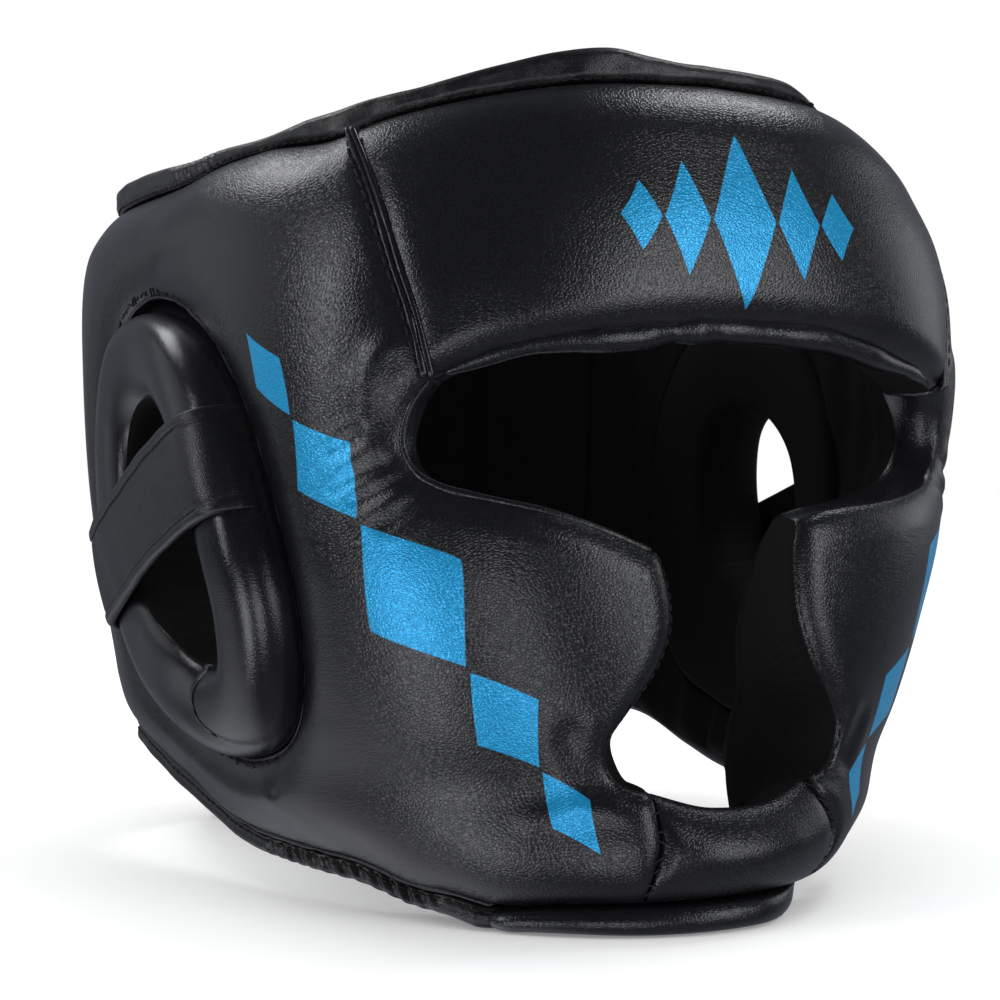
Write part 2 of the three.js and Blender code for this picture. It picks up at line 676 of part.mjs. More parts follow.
// A rounded bar that follows an edge. Depths are inwards from the form, levels upwards from the edge.
function barSection(bearing, edge, low, high, shape) {
  const { outside, inside } = shape;
  const round = Math.min(shape.round, 0.42 * (high - low));
  const spots = [
    [outside + round, low],
    [outside, low + round],
    [outside, high - round],
    [outside + round, high],
    [inside - round, high],
    [inside, high - round],
    [inside, low + round],
    [inside - round, low],
  ];
  return spots.map(([depth, level]) => formPoint(bearing, edge, depth, level));
}
function topRimRows() {
  const rows = [];
  const count = 48;
  for (let k = 0; k < count; k += 1) {
    const bearing = 360 * k / count - 180;
    const tall = rimTallCurve(bearing, 'tall');
    rows.push(barSection(bearing, topHeight(bearing), EDGE_GAP, EDGE_GAP + tall, TOP_RIM));
  }
  return rows;
}
function bottomRimRows() {
  const rows = [];
  const count = 50;
  const first = BOTTOM_RIM.firstBearing;
  for (let k = 0; k <= count; k += 1) {
    const bearing = THREE.MathUtils.lerp(first, 360 - first, k / count);
    rows.push(barSection(bearing, lowHeight(bearing), -EDGE_GAP - BOTTOM_RIM.tall, -EDGE_GAP, BOTTOM_RIM));
  }
  return rows;
}

// Chin cup: a flat-footed crescent under the lower edge, thinner towards its ends.
function chinCupRows() {
  const rows = [];
  const count = 20;
  const span = CUP_FOOT[CUP_FOOT.length - 1].bearing;
  for (let k = 0; k <= count; k += 1) {
    const share = 2 * k / count - 1;
    const bearing = span * share;
    const edge = lowHeight(bearing);
    const foot = cupFootCurve(Math.abs(bearing), 'height') - edge;
    const deep = Math.sqrt(1 - 0.6 * share ** 6);
    const spots = [
      [CHIN_CUP.footOutside, foot],
      [CHIN_CUP.outside + 0.6, foot * 0.7],
      [CHIN_CUP.outside, foot * 0.36],
      [CHIN_CUP.outside + 2.2, -EDGE_GAP],
      [(CHIN_CUP.inside - 3) * deep, -EDGE_GAP],
      [CHIN_CUP.inside * deep, foot * 0.45],
      [CHIN_CUP.footInside * deep, foot],
    ];
    rows.push(spots.map(([depth, level]) => formPoint(bearing, edge, depth, level)));
  }
  return rows;
}

const leatherBlack = { color: 0x1b1b1e, roughness: 0.45, metalness: 0 };
const leatherGloss = { color: 0x1a1b1f, roughness: 0.36, metalness: 0 };
const bindingBlack = { color: 0x141416, roughness: 0.5, metalness: 0 };

const guard = new THREE.Group();
guard.name = 'head_guard';
function addPiece(name, body, look, mirrored = false) {
  const piece = new THREE.Mesh(bodyGeometry(body, mirrored), new THREE.MeshStandardMaterial(look));
  piece.name = name;
  guard.add(piece);
}

const forehead = slab(middlePanelGrid({
  seam: TEMPLE_SEAM,
  lowAt: (bearing) => browCurve(bearing, 'height'),
  highAt: topHeight,
  lowKind: 'brow',
  highKind: 'top',
  columns: 22,
}), { closed: false });
const back = slab(middlePanelGrid({
  seam: REAR_SEAM,
  lowAt: lowHeight,
  highAt: topHeight,
  lowKind: 'low',
  highKind: 'top',
  columns: 18,
  behind: true,
}), { closed: false });
const chin = slab(middlePanelGrid({
  seam: [...CHIN_SEAM].reverse(),
  lowAt: lowHeight,
  highAt: (bearing) => chinTopCurve(bearing, 'height'),
  lowKind: 'low',
  highKind: 'chin',
  columns: 12,
}), { closed: false });
const side = slab(sidePadGrid(), { closed: true });
const ring = skin(ringGrid(), { closedAcross: true, closedAlong: true });
const strap = skin(strapRows(), { closedAcross: true, closedAlong: false });

addPiece('forehead_pad', forehead, leatherBlack);
addPiece('side_pad_left', side, leatherBlack);
addPiece('side_pad_right', side, leatherBlack, true);
addPiece('back_pad', back, leatherBlack);
addPiece('chin_bar', chin, leatherBlack);
addPiece('chin_cup', skin(chinCupRows(), { closedAcross: true, closedAlong: false }), leatherBlack);
addPiece('ear_ring_left', ring, leatherGloss);
addPiece('ear_ring_right', ring, leatherGloss, true);
addPiece('ear_strap_left', strap, leatherBlack);
addPiece('ear_strap_right', strap, leatherBlack, true);
addPiece('top_rim', skin(topRimRows(), { closedAcross: true, closedAlong: true }), bindingBlack);
addPiece('bottom_rim', skin(bottomRimRows(), { closedAcross: true, closedAlong: false }), bindingBlack);

// The frame's origin is under the middle of the whole guard, on the floor.
const box = new THREE.Box3().setFromObject(guard);
const middle = box.getCenter(new THREE.Vector3());
for (const piece of guard.children) piece.geometry.translate(-middle.x, -middle.y, -box.min.z);

export default guard;
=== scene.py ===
import math

import bpy
import numpy as np
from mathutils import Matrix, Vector
from mathutils.bvhtree import BVHTree


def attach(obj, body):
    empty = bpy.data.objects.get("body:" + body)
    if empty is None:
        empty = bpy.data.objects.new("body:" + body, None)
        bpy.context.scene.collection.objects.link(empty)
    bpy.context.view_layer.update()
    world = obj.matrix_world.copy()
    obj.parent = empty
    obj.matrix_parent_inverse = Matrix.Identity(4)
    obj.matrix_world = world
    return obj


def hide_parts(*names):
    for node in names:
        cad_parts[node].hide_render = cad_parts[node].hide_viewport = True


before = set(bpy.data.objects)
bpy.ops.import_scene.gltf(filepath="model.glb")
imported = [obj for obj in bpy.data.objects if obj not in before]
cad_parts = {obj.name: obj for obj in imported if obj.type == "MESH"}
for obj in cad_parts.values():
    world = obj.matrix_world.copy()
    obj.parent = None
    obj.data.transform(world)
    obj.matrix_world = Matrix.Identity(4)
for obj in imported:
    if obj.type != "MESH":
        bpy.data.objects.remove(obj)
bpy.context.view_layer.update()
print("frame:", len(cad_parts), "nodes")

mm = 0.001  # shapes are worked out in millimetres and written in metres

# The outside form of the guard. Bearings are degrees round the head from the middle of the face,
# minus on the wearer's right. Girths are the same places in millimetres along the outside.
guardForm = {
    "seat": (0.0, 0.35, 0.0),  # carries the form over the frame's origin
    "wall": 21.0,
    "girthLevel": 100.0,
    "sections": {
        "height": [-10, 10, 22, 38, 52, 75, 95, 125, 157, 176, 192, 206, 224],
        "halfWidth": [80, 88, 92.5, 97, 100, 105, 108, 110.3, 111.2, 109.5, 105, 99, 91],
        "front": [112, 121, 122.5, 123.5, 124, 124, 124, 125, 125, 123, 119.5, 116, 110],
        "back": [112, 118, 120, 122, 123.5, 125, 126, 126.5, 125, 121, 115, 109, 102],
        "faceSquareness": [2.1, 2.1, 2.1, 2.13, 2.35, 2.64, 2.92, 3.02, 3, 2.85, 2.6, 2.5, 2.4],
        "neckSquareness": [2.7, 2.75, 2.95, 2.95, 2.8, 2.8, 2.85, 2.9, 2.95, 3.05, 3.1, 3.1, 3],
    },
    "swellings": [  # chin, cheek
        dict(bearing=0, height=20, bearingSpread=20, heightSpread=17, extra=4.8),
        dict(bearing=26, height=74, bearingSpread=16, heightSpread=26, extra=1.5),
    ],
    "padding": [  # brow, cheek, eye corner, jaw, ear
        dict(bearing=0, height=178, bearingSpread=34, heightSpread=45, extra=5),
        dict(bearing=20, height=72, bearingSpread=17, heightSpread=32, extra=19),
        dict(bearing=42, height=122, bearingSpread=12, heightSpread=16, extra=-6),
        dict(bearing=45, height=35, bearingSpread=22, heightSpread=28, extra=4),
        dict(bearing=88, height=98, bearingSpread=34, heightSpread=62, extra=4),
    ],
    # on the far cheek only
    "mouthPadding": dict(bearing=15, height=40, bearingSpread=13, heightSpread=10, extra=6),
    "mouthDrop": dict(bearing=12, height=38, bearingSpread=7, heightSpread=8, extra=14),
    # where the soft guard sits unevenly: bearing and height with their spreads, then a turn in degrees,
    # a raise and a push outwards
    "lean": [
        (-10, 97, 11, 18, -1.2, -2.6, 0),
        (10, 97, 11, 20, -0.8, 5.0, 0),
        (-12, 146, 16, 12, 0, -1.2, 0),
        (24, 142, 14, 14, 0, -2.6, 0),
        (30, 4, 14, 18, 0, 6.5, 0),
        (-31, 4, 7, 10, 0, -1.2, 0),
        (36, 205, 13, 12, 0, -3.0, 0),
        (12, 19, 9, 12, 5.4, 0, 0),
        (-11, 25, 6, 7, 0.7, 0, 0),
        (-11, 9, 6, 7, -0.8, 0, 0),
        (74, 8, 26, 20, 0, 8.0, 0),
        (-86, 160, 18, 13, 0, -1.6, 0),
        (-63, 194, 6, 8, 0, 1.5, 0),
        (-51, 196, 4, 8, 0, -0.8, 0),
        (-74, 193, 10, 10, 0, 2.4, 0),
        (-43, 13, 7, 9, 0, -3.0, 0),
        (52, 192, 20, 18, 0, 0, -2.6),
        (52, 78, 24, 44, 0, 0, -1.8),
        (57, 158, 20, 28, 0, 0, -1.5),
        (-114, 42, 14, 20, 0, 0, 2.2),
    ],
}


def curveThrough(places, values):
    x = np.asarray(places, float)
    y = np.asarray(values, float)
    before = np.maximum(np.arange(len(x)) - 1, 0)
    after = np.minimum(np.arange(len(x)) + 1, len(x) - 1)
    slope = (y[after] - y[before]) / (x[after] - x[before])

    def read(at):
        at = np.clip(np.asarray(at, float), x[0], x[-1])
        k = np.clip(np.searchsorted(x, at, side="right") - 1, 0, len(x) - 2)
        span = x[k + 1] - x[k]
        t = (at - x[k]) / span
        rise = y[k + 1] - y[k]
        leave = slope[k] * span
        arrive = slope[k + 1] * span
        return y[k] + t * (leave + t * (3 * rise - 2 * leave - arrive + t * (leave + arrive - 2 * rise)))

    return read


sectionCurves = {
    column: curveThrough(guardForm["sections"]["height"], values)
    for column, values in guardForm["sections"].items()
    if column != "height"
}


def foldBearing(bearing):
    turned = np.abs(bearing) % 360
    return np.where(turned > 180, 360 - turned, turned)


def swellingAt(rows, bearing, height):
    folded = foldBearing(bearing)
    total = np.zeros(np.broadcast(folded, height).shape)
    for row in rows:
        across = (folded - row["bearing"]) / row["bearingSpread"]
        upwards = (height - row["height"]) / row["heightSpread"]
        total = total + row["extra"] * np.exp(-across * across - upwards * upwards)
    return total


def leanPlace(bearing, height):
    turned = np.array(np.broadcast_arrays(bearing, height)[0], float)
    lifted = np.array(np.broadcast_arrays(bearing, height)[1], float)
    signed = (turned + 180) % 360 - 180
    start = lifted.copy()
    pushed = 0 * start
    for row in guardForm["lean"]:
        middle, level, wide, tall, turn, lift, out = row
        across = (signed - middle) / wide
        upwards = (start - level) / tall
        share = np.exp(-across * across - upwards * upwards)
        turned += turn * share
        lifted += lift * share
        pushed += out * share
    return turned, lifted, pushed


# A point of the form in metres, moved inwards by a depth along the level normal and upwards by a lift.
def formPoint(bearing, height, depth=0.0, lift=0.0, lean=True):
    pushed = 0
    if lean:
        bearing, height, pushed = leanPlace(bearing, height)
    alongX = np.sin(np.radians(bearing))
    alongY = -np.cos(np.radians(bearing))
    facing = alongY < 0
    halfWidth = sectionCurves["halfWidth"](height)
    reach = np.where(facing, sectionCurves["front"](height), sectionCurves["back"](height))
    facePower = sectionCurves["faceSquareness"](height)
    power = np.where(facing, facePower, sectionCurves["neckSquareness"](height))
    size = np.abs(alongX / halfWidth) ** power + np.abs(alongY / reach) ** power
    radius = size ** (-1 / power)
    x = radius * alongX
    y = radius * alongY
    normalX = np.sign(x) * np.abs(x / halfWidth) ** (power - 1) / halfWidth
    normalY = np.sign(y) * np.abs(y / reach) ** (power - 1) / reach
    length = np.hypot(normalX, normalY)
    inwards = depth - pushed - swellingAt(guardForm["swellings"], bearing, height)
    seat = guardForm["seat"]
    return mm * np.stack([
        x - normalX / length * inwards + seat[0],
        y - normalY / length * inwards + seat[1],
        height + lift + seat[2] + 0 * x,
    ], -1)


girthBearings = np.arange(0, 200.5, 0.5)
girthPath = formPoint(girthBearings, guardForm["girthLevel"] + 0 * girthBearings, lean=False) / mm
girthPlaces = np.concatenate([[0], np.cumsum(np.linalg.norm(np.diff(girthPath, axis=0), axis=1))])


def girthOf(bearing):
    return np.interp(bearing, girthBearings, girthPlaces)


def bearingOf(girth):
    return np.interp(girth, girthPlaces, girthBearings)


sideGirth = float(girthOf(90))
backGirth = float(girthOf(180))


def wallThickness(bearing, height):
    farSide = np.sin(np.radians(bearing)) > 0
    extra = np.where(farSide, swellingAt([guardForm["mouthPadding"]], bearing, height), 0)
    return guardForm["wall"] + swellingAt(guardForm["padding"], bearing, height) + extra


# Seams and open edges, alike on both sides. The flare carries an inner edge back from the face.
panelEdges = {
    "top": dict(
        bearing=[0, 17, 29, 42, 56, 81, 120, 180],
        height=[211.5, 210, 207, 202.4, 196.2, 192, 190, 189]),
    "low": dict(
        bearing=[0, 20, 31, 38, 47, 62, 83, 102, 120, 134, 146, 156, 165, 180],
        height=[9, 8.4, 8.2, 11.6, 14.8, 16, 19, 28, 37, 34, 18.5, 8, 6, 5.7]),
    "temple": dict(
        bearing=[36.5, 38, 40.2, 43, 48],
        height=[137, 150.8, 165, 181, 199.6]),
    "eye": dict(
        bearing=[36.5, 38.8, 39.6, 38.2, 35, 30, 22, 14, 9.4],
        height=[137, 130, 122, 115, 111, 108.6, 105.2, 101, 97.4],
        flare=[0, 0, 0, 1, 2, 3, 6, 11, 13]),
    "cheek": dict(
        bearing=[9.4, 8.5, 8.7, 10.8, 14.2, 16.8, 16.4, 14.2, 11.3],
        height=[97.4, 89, 78, 67, 57, 48, 41.6, 37.6, 35.8],
        flare=[13, 14, 13, 9, 2, -6, -7, -3, 0],
        farFlare=[13, 14, 13, 9, 2, -8, -12, -11, -8]),
    "chinSeam": dict(bearing=[11.3, 11.2, 11, 10.8], height=[35.8, 27, 18, 9]),
    "rear": dict(bearing=[134, 132, 131, 132], height=[34, 70, 120, 189.7]),
    "brow": dict(bearing=[0, 9, 18, 27, 33, 36.5], height=[151.5, 151, 149, 145, 140.5, 137]),
    "chinTop": dict(bearing=[0, 5, 11.3], height=[31, 32, 35.8]),
}


def edgeHeight(name):
    read = curveThrough(panelEdges[name]["bearing"], panelEdges[name]["height"])
    return lambda bearing: read(foldBearing(bearing))


topHeight = edgeHeight("top")
lowHeight = edgeHeight("low")
browHeight = edgeHeight("brow")
chinTopHeight = edgeHeight("chinTop")


# A smooth line through points, sampled closely.
def smoothLine(points, closed=False, dense=24):
    p = np.asarray(points, float)
    if closed:
        padded = np.concatenate([p[-1:], p, p[:2]])
    else:
        padded = np.concatenate([2 * p[:1] - p[1:2], p, 2 * p[-1:] - p[-2:-1]])
    t = np.arange(dense)[:, None] / dense
    line = []
    for k in range(len(padded) - 3):
        a, b, c, d = padded[k:k + 4]
        first = max(np.linalg.norm(b - a) ** 0.5, 1e-4)
        middle = max(np.linalg.norm(c - b) ** 0.5, 1e-4)
        last = max(np.linalg.norm(d - c) ** 0.5, 1e-4)
        leave = ((b - a) / first - (c - a) / (first + middle) + (c - b) / middle) * middle
        arrive = ((c - b) / middle - (d - b) / (middle + last) + (d - c) / last) * middle
        bend = 3 * (c - b) - 2 * leave - arrive
        line.append(b + t * (leave + t * (bend + t * (leave + arrive - 2 * (c - b)))))
    line.append(p[:1] if closed else p[-1:])
    return np.concatenate(line)


def lineLength(line):
    return float(np.linalg.norm(np.diff(line[:, :2], axis=0), axis=1).sum())


def spacedAt(line, places):
    steps = np.linalg.norm(np.diff(line[:, :2], axis=0), axis=1)
    along = np.concatenate([[0], np.cumsum(steps)])
    at = np.asarray(places) * along[-1]
    return np.stack([np.interp(at, along, line[:, k]) for k in range(line.shape[1])], -1)


def edgeLine(name):
    rows = panelEdges[name]
    flare = rows.get("flare", [0] * len(rows["bearing"]))
    columns = [girthOf(rows["bearing"]), rows["height"], flare, rows.get("farFlare", flare)]
    return smoothLine(np.stack(columns, -1))


def heightLine(first, last, heightAt, count=60):
    bearing = np.linspace(first, last, count)
    return np.stack([girthOf(bearing), heightAt(bearing), 0 * bearing, 0 * bearing], -1)


# How a panel rounds off at its borders: sink and width outside, the same on the lining,
# a drop of the lining, and a bulge of the wall between.
rounding = {
    "seam": dict(sink=4.2, width=13, power=1.8, liningSink=1.5, liningWidth=8, drop=0, bulge=0),
    "chinSeam": dict(sink=2.8, width=7, power=1.8, liningSink=1.5, liningWidth=8, drop=0, bulge=0),
    "temple": dict(sink=1.9, width=6.5, power=1.8, liningSink=1.5, liningWidth=8, drop=0, bulge=0),
    "ring": dict(sink=6, width=15, power=1.9, liningSink=0.4, liningWidth=8, drop=0, bulge=0),
    "top": dict(sink=6.5, width=14, power=1.9, liningSink=2, liningWidth=8, drop=0, bulge=0),
    "low": dict(sink=4, width=17, power=1.7, liningSink=3, liningWidth=9, drop=0, bulge=0),
    "eye": dict(sink=4.4, width=9, power=1.9, liningSink=3, liningWidth=8, drop=0, bulge=2.2),
    "brow": dict(sink=5.2, width=7.6, power=1.7, liningSink=4, liningWidth=9, drop=0, bulge=1),
    "cheek": dict(sink=4, width=8, power=1.9, liningSink=4, liningWidth=9, drop=0, bulge=1.6),
    "chin": dict(sink=6.5, width=15, power=1.8, liningSink=7, liningWidth=12, drop=9, bulge=1),
}


def awayFrom(spots, line, batch=4000):
    flat = spots.reshape(-1, 2)
    start = line[:-1, :2]
    span = np.diff(line[:, :2], axis=0)
    squared = np.maximum((span * span).sum(1), 1e-12)
    nearest = np.empty(len(flat))
    for first in range(0, len(flat), batch):
        part = flat[first:first + batch, None] - start[None]
        t = np.clip((part * span).sum(-1) / squared, 0, 1)
        rest = part - t[..., None] * span
        nearest[first:first + batch] = np.sqrt((rest * rest).sum(-1).min(1))
    return nearest.reshape(spots.shape[:-1])


def quarter(away, sink, width, power=2.0):
    near = np.maximum(1 - away / width, 0)
    return sink * (1 - (1 - near ** power) ** (1 / power))


# Sink outside and on the lining, the drop of the lining, and how near a border is, from 0 to 1.
def sinkAt(spots, borders, fade=4.0):
    outside = np.zeros(spots.shape[:-1])
    lining, drop, near = outside.copy(), outside.copy(), outside.copy()
    for kind, line in borders:
        shape = rounding[kind]
        away = awayFrom(spots, line)
        outside += quarter(away, shape["sink"], shape["width"], shape["power"]) ** 3
        lining += quarter(away, shape["liningSink"], shape["liningWidth"]) ** 3
        drop += quarter(away, shape["drop"], shape["liningWidth"])
        near = np.maximum(near, np.exp(-away / fade))
    return np.cbrt(outside), np.cbrt(lining), drop, near


# Places from 0 to 1 that crowd towards both ends, where a panel rounds off.
def crowdedPlaces(steps, crowd=0.62):
    t = np.linspace(0, 1, steps + 1)
    return t - crowd * np.sin(2 * np.pi * t) / (2 * np.pi)


# A mesh from a grid of points whose columns close on themselves, with a cap on each open end.
def gridMesh(name, points, closedAlong, closedAcross=True, finishes=None, places=None, near=None):
    rows, columns = points.shape[:2]
    index = np.arange(rows * columns).reshape(rows, columns)
    after = np.roll(index, -1, axis=0) if closedAlong else index[1:]
    base = index if closedAlong else index[:-1]
    beside = np.roll(base, -1, axis=1)
    across = np.roll(after, -1, axis=1)
    last = columns if closedAcross else columns - 1
    quads = np.stack([base, beside, across, after], -1)[:, :last]
    faces = quads.reshape(-1, 4).tolist()
    mesh = bpy.data.meshes.new(name)
    caps = []
    if closedAcross and not closedAlong:
        caps = [index[0][::-1].tolist(), index[-1].tolist()]
    mesh.from_pydata(points.reshape(-1, 3).tolist(), [], faces + caps)
    if finishes is not None:
        chosen = np.broadcast_to(finishes, (len(quads), columns))[:, :last].reshape(-1)
        chosen = np.concatenate([chosen, [np.max(finishes)] * len(caps)]).astype(np.int32)
        mesh.polygons.foreach_set("material_index", chosen)
    if places is not None:
        layer = mesh.uv_layers.new(name="panelPlace")
        corners = np.empty(len(mesh.loops), np.int32)
        mesh.loops.foreach_get("vertex_index", corners)
        layer.data.foreach_set("uv", (places.reshape(-1, 2)[corners] * mm).astype(np.float32).reshape(-1))
    if near is not None:
        values = np.broadcast_to(near, points.shape[:2]).astype(np.float32).reshape(-1)
        mesh.attributes.new("seamNear", "FLOAT", "POINT").data.foreach_set("value", values)
    mesh.polygons.foreach_set("use_smooth", [True] * len(mesh.polygons))
    mesh.validate()
    mesh.update()
    return mesh


def turnOutwards(mesh):
    corner = np.empty(len(mesh.vertices) * 3, np.float32)
    mesh.vertices.foreach_get("co", corner)
    corner = corner.reshape(-1, 3).astype(float)
    mesh.calc_loop_triangles()
    tri = np.empty(len(mesh.loop_triangles) * 3, np.int32)
    mesh.loop_triangles.foreach_get("vertices", tri)
    a, b, c = (corner[tri.reshape(-1, 3)[:, k]] for k in range(3))
    if (a * np.cross(b, c)).sum() < 0:
        mesh.flip_normals()


def addPiece(name, mesh, materials, replaced=()):
    piece = bpy.data.objects.new(name, mesh)
    bpy.context.scene.collection.objects.link(piece)
    for material in materials:
        mesh.materials.append(material)
    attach(piece, "root")
    if replaced:
        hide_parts(*replaced)
    return piece


# Lets a sewn sheet swell: its borders stay, the rest moves under pressure.
# Gives the outward movement in millimetres.
def swellSheet(name, points, closed, cloth):
    rows, columns = points.shape[:2]
    mesh = gridMesh(name, points, closed, closedAcross=False)
    sheet = bpy.data.objects.new(name, mesh)
    bpy.context.scene.collection.objects.link(sheet)
    held = np.zeros((rows, columns), bool)
    held[:, :1] = held[:, -1:] = True
    if not closed:
        held[:1] = held[-1:] = True
    sewn = sheet.vertex_groups.new(name="sewn")
    sewn.add(np.flatnonzero(held).tolist(), 1.0, "REPLACE")
    wrapped = np.concatenate([points[-1:], points, points[:1]]) if closed else points
    along = np.gradient(wrapped, axis=0)
    normals = np.cross(along[1:-1] if closed else along, np.gradient(points, axis=1))
    normals /= np.maximum(np.linalg.norm(normals, axis=-1, keepdims=True), 1e-12)
    outwards = np.sign((normals[..., :2] * points[..., :2]).sum())
    modifier = sheet.modifiers.new("swell", "CLOTH")
    settings = modifier.settings
    settings.quality = cloth["quality"]
    settings.mass = cloth["mass"]
    settings.tension_stiffness = cloth["stiff"]
    settings.compression_stiffness = cloth["stiff"]
    settings.shear_stiffness = cloth["stiff"] / 3
    settings.bending_stiffness = cloth["bend"]
    settings.shrink_min = -cloth["slack"]
    settings.vertex_group_mass = "sewn"
    settings.use_pressure = True
    settings.uniform_pressure_force = cloth["pressure"] * outwards * meshFacing(mesh, normals)
    settings.effector_weights.gravity = 0
    modifier.collision_settings.use_collision = False
    modifier.point_cache.frame_start = 1
    modifier.point_cache.frame_end = cloth["frames"]
    scene = bpy.context.scene
    for step in range(1, cloth["frames"] + 1):
        scene.frame_set(step)
    shown = sheet.evaluated_get(bpy.context.evaluated_depsgraph_get())
    moved = np.empty(rows * columns * 3, np.float32)
    shown.data.vertices.foreach_get("co", moved)
    moved = moved.reshape(rows, columns, 3).astype(float)
    bpy.data.objects.remove(sheet)
    bpy.data.meshes.remove(mesh)
    scene.frame_set(1)
    rise = ((moved - points) * normals).sum(-1) * outwards / mm
    print(name, "swelled", rise.min().round(2), "to", rise.max().round(2), "mm")
    limit = np.where(rise > 0, cloth["most"], cloth["least"])
    return calmed(limit * np.tanh(rise / limit), closed, cloth["calm"])


# Evens out the small ripples of a sheet and keeps its broad swelling.
def calmed(values, closed, passes):
    for _ in range(passes):
        beside = np.roll(values, 1, axis=0) + np.roll(values, -1, axis=0)
        even = (beside + 2 * values) / 4
        if not closed:
            even[[0, -1]] = values[[0, -1]]
        values = even.copy()
        values[:, 1:-1] = (even[:, :-2] + 2 * even[:, 1:-1] + even[:, 2:]) / 4
    return values


def meshFacing(mesh, normals):
    first = np.array(mesh.polygons[len(mesh.polygons) // 2].normal)
    near = normals.reshape(-1, 3)[mesh.polygons[len(mesh.polygons) // 2].vertices[0]]
    return 1.0 if (first * near).sum() > 0 else -1.0


# Twice as many rows or columns, with the new ones on a smooth curve between the old.
def doubled(values, axis, closed):
    v = np.moveaxis(values, axis, 0)
    if closed:
        before = np.roll(v, 1, axis=0)
        after = np.roll(v, -1, axis=0)
        beyond = np.roll(v, -2, axis=0)
        between = (9 * (v + after) - before - beyond) / 16
        out = np.stack([v, between], 1).reshape(-1, *v.shape[1:])
    else:
        wide = np.concatenate([v[:1], v, v[-1:]])
        between = (9 * (wide[1:-2] + wide[2:-1]) - wide[:-3] - wide[3:]) / 16
        out = np.empty((2 * len(v) - 1,) + v.shape[1:])
        out[::2] = v
        out[1::2] = between
    return np.moveaxis(out, 0, axis)


panelCloth = {
    "quality": 6, "mass": 0.3, "pressure": 3.0, "slack": 0.012, "stiff": 12.0, "bend": 1.5, "frames": 18,
    "least": -0.25, "most": 1.0, "calm": 10,
}

# Ear ring: its middle line ahead of the side of the head, and how far it stands out of the form.
earRing = {
    "halfWidth": 13.0,
    "gap": 0.6,
    "root": -6.0,
    "collar": -14.0,
    "back": -25.0,
    "middle": (-6.0, 98.0),
    "ahead": [-2, 21, 39.5, 50.5, 56, 50, 31, 10, -12, -27, -33, -30, -19],
    "height": [149.5, 143.5, 127, 104, 78, 58, 51, 53.5, 61, 79, 104, 130, 145],
    "rise": [3.6, 6, 8, 9, 9, 9, 8, 7.6, 6.2, 4.8, 3.6, 2.8, 3],
    # half widths away from the ear and towards it
    "outer": [9.5, 11, 12.5, 13, 13, 13, 13, 13, 13, 13, 12.5, 11, 9.5],
    "inner": [17, 15, 13, 13, 13, 13, 14, 19, 22, 18.5, 16, 16, 18],
    "innerPlump": [2.5, 2.5, 2.5, 2.5, 2.5, 2.5, 3, 4.5, 5, 4.5, 3.2, 2.6, 2.5],
    "plump": 2.5,
    "stations": 300,
    "roundSteps": 30,
    # where the front limb ends over the rear one
    "joint": [(70.6, 65.6), (75.5, 56.7), (75.6, 49.9), (71.1, 44.6)],
    "jointFrom": 10, "jointTo": 26,  # steps round the section that show the joint's edge
    "endSink": 1.2, "endLength": 4.5, "underSink": 3.0, "underLength": 15.0, "darkSteps": 5,
    "fill": 0.85,
}
ringColumns = [sideGirth - np.array(earRing["ahead"], float)]
ringColumns += [earRing[column] for column in ("height", "rise", "outer", "inner", "innerPlump")]
ringLine = smoothLine(np.stack(ringColumns, -1), closed=True)
ringMiddle = np.array([sideGirth + earRing["middle"][0], earRing["middle"][1]])


def ringStations(count):
    point = spacedAt(ringLine, np.arange(count) / count)
    tangent = np.roll(point, -1, axis=0) - np.roll(point, 1, axis=0)
    across = np.stack([-tangent[:, 1], tangent[:, 0]], -1)
    across /= np.linalg.norm(across, axis=1, keepdims=True)
    return point, across * np.sign(across[0, 1])


densePoint, denseAcross = ringStations(320)
holeLine = densePoint[:, :2] + denseAcross * (earRing["halfWidth"] + earRing["gap"])
holeLine = np.concatenate([holeLine, holeLine[:1]])
holeTurns = np.degrees(np.arctan2(holeLine[:-1, 1] - ringMiddle[1], ringMiddle[0] - holeLine[:-1, 0]))
holeReach = np.linalg.norm(holeLine[:-1] - ringMiddle, axis=1)
holeOrder = np.argsort(holeTurns)


def holePoint(turn):
    reach = np.interp(turn, holeTurns[holeOrder], holeReach[holeOrder], period=360)
    angle = np.radians(turn)
    return ringMiddle + reach[:, None] * np.stack([-np.cos(angle), np.sin(angle)], -1)


# Side pad: rays from the ear hole to the outline. A turn is where the ray of an edge's first point
# leaves the hole.
sidePad = {
    "raySpacing": 1.6,
    "raySteps": 14,
    "passes": 700,
    "relax": 0.8,
    "rows": 68,
    "liningRows": 22,
    "wallRows": 7,
    "seamInset": 0.255,
    "turns": [62, 34, 4, -34, -56, -146, -226, -298],
    "fill": 0.8,
}


def evenRays(starts, ends, steps, passes):
    t = np.linspace(0, 1, steps + 1)[None, :, None]
    rays = starts[:, None] * (1 - t) + ends[:, None] * t
    for _ in range(passes):
        before = np.roll(rays, 1, axis=0)
        after = np.roll(rays, -1, axis=0)
        alongRay = rays[:, 2:] - rays[:, :-2]
        acrossRays = after[:, 1:-1] - before[:, 1:-1]
        rayPull = (acrossRays ** 2).sum(-1, keepdims=True)
        sidePull = (alongRay ** 2).sum(-1, keepdims=True)
        shear = (alongRay * acrossRays).sum(-1, keepdims=True) / 2
        pulled = sidePull * (before + after)[:, 1:-1] + rayPull * (rays[:, :-2] + rays[:, 2:])
        pulled -= shear * (after[:, 2:] - after[:, :-2] - before[:, 2:] + before[:, :-2])
        evened = pulled / (2 * (rayPull + sidePull))
        rays[:, 1:-1] += sidePad["relax"] * (evened - rays[:, 1:-1])
    return rays


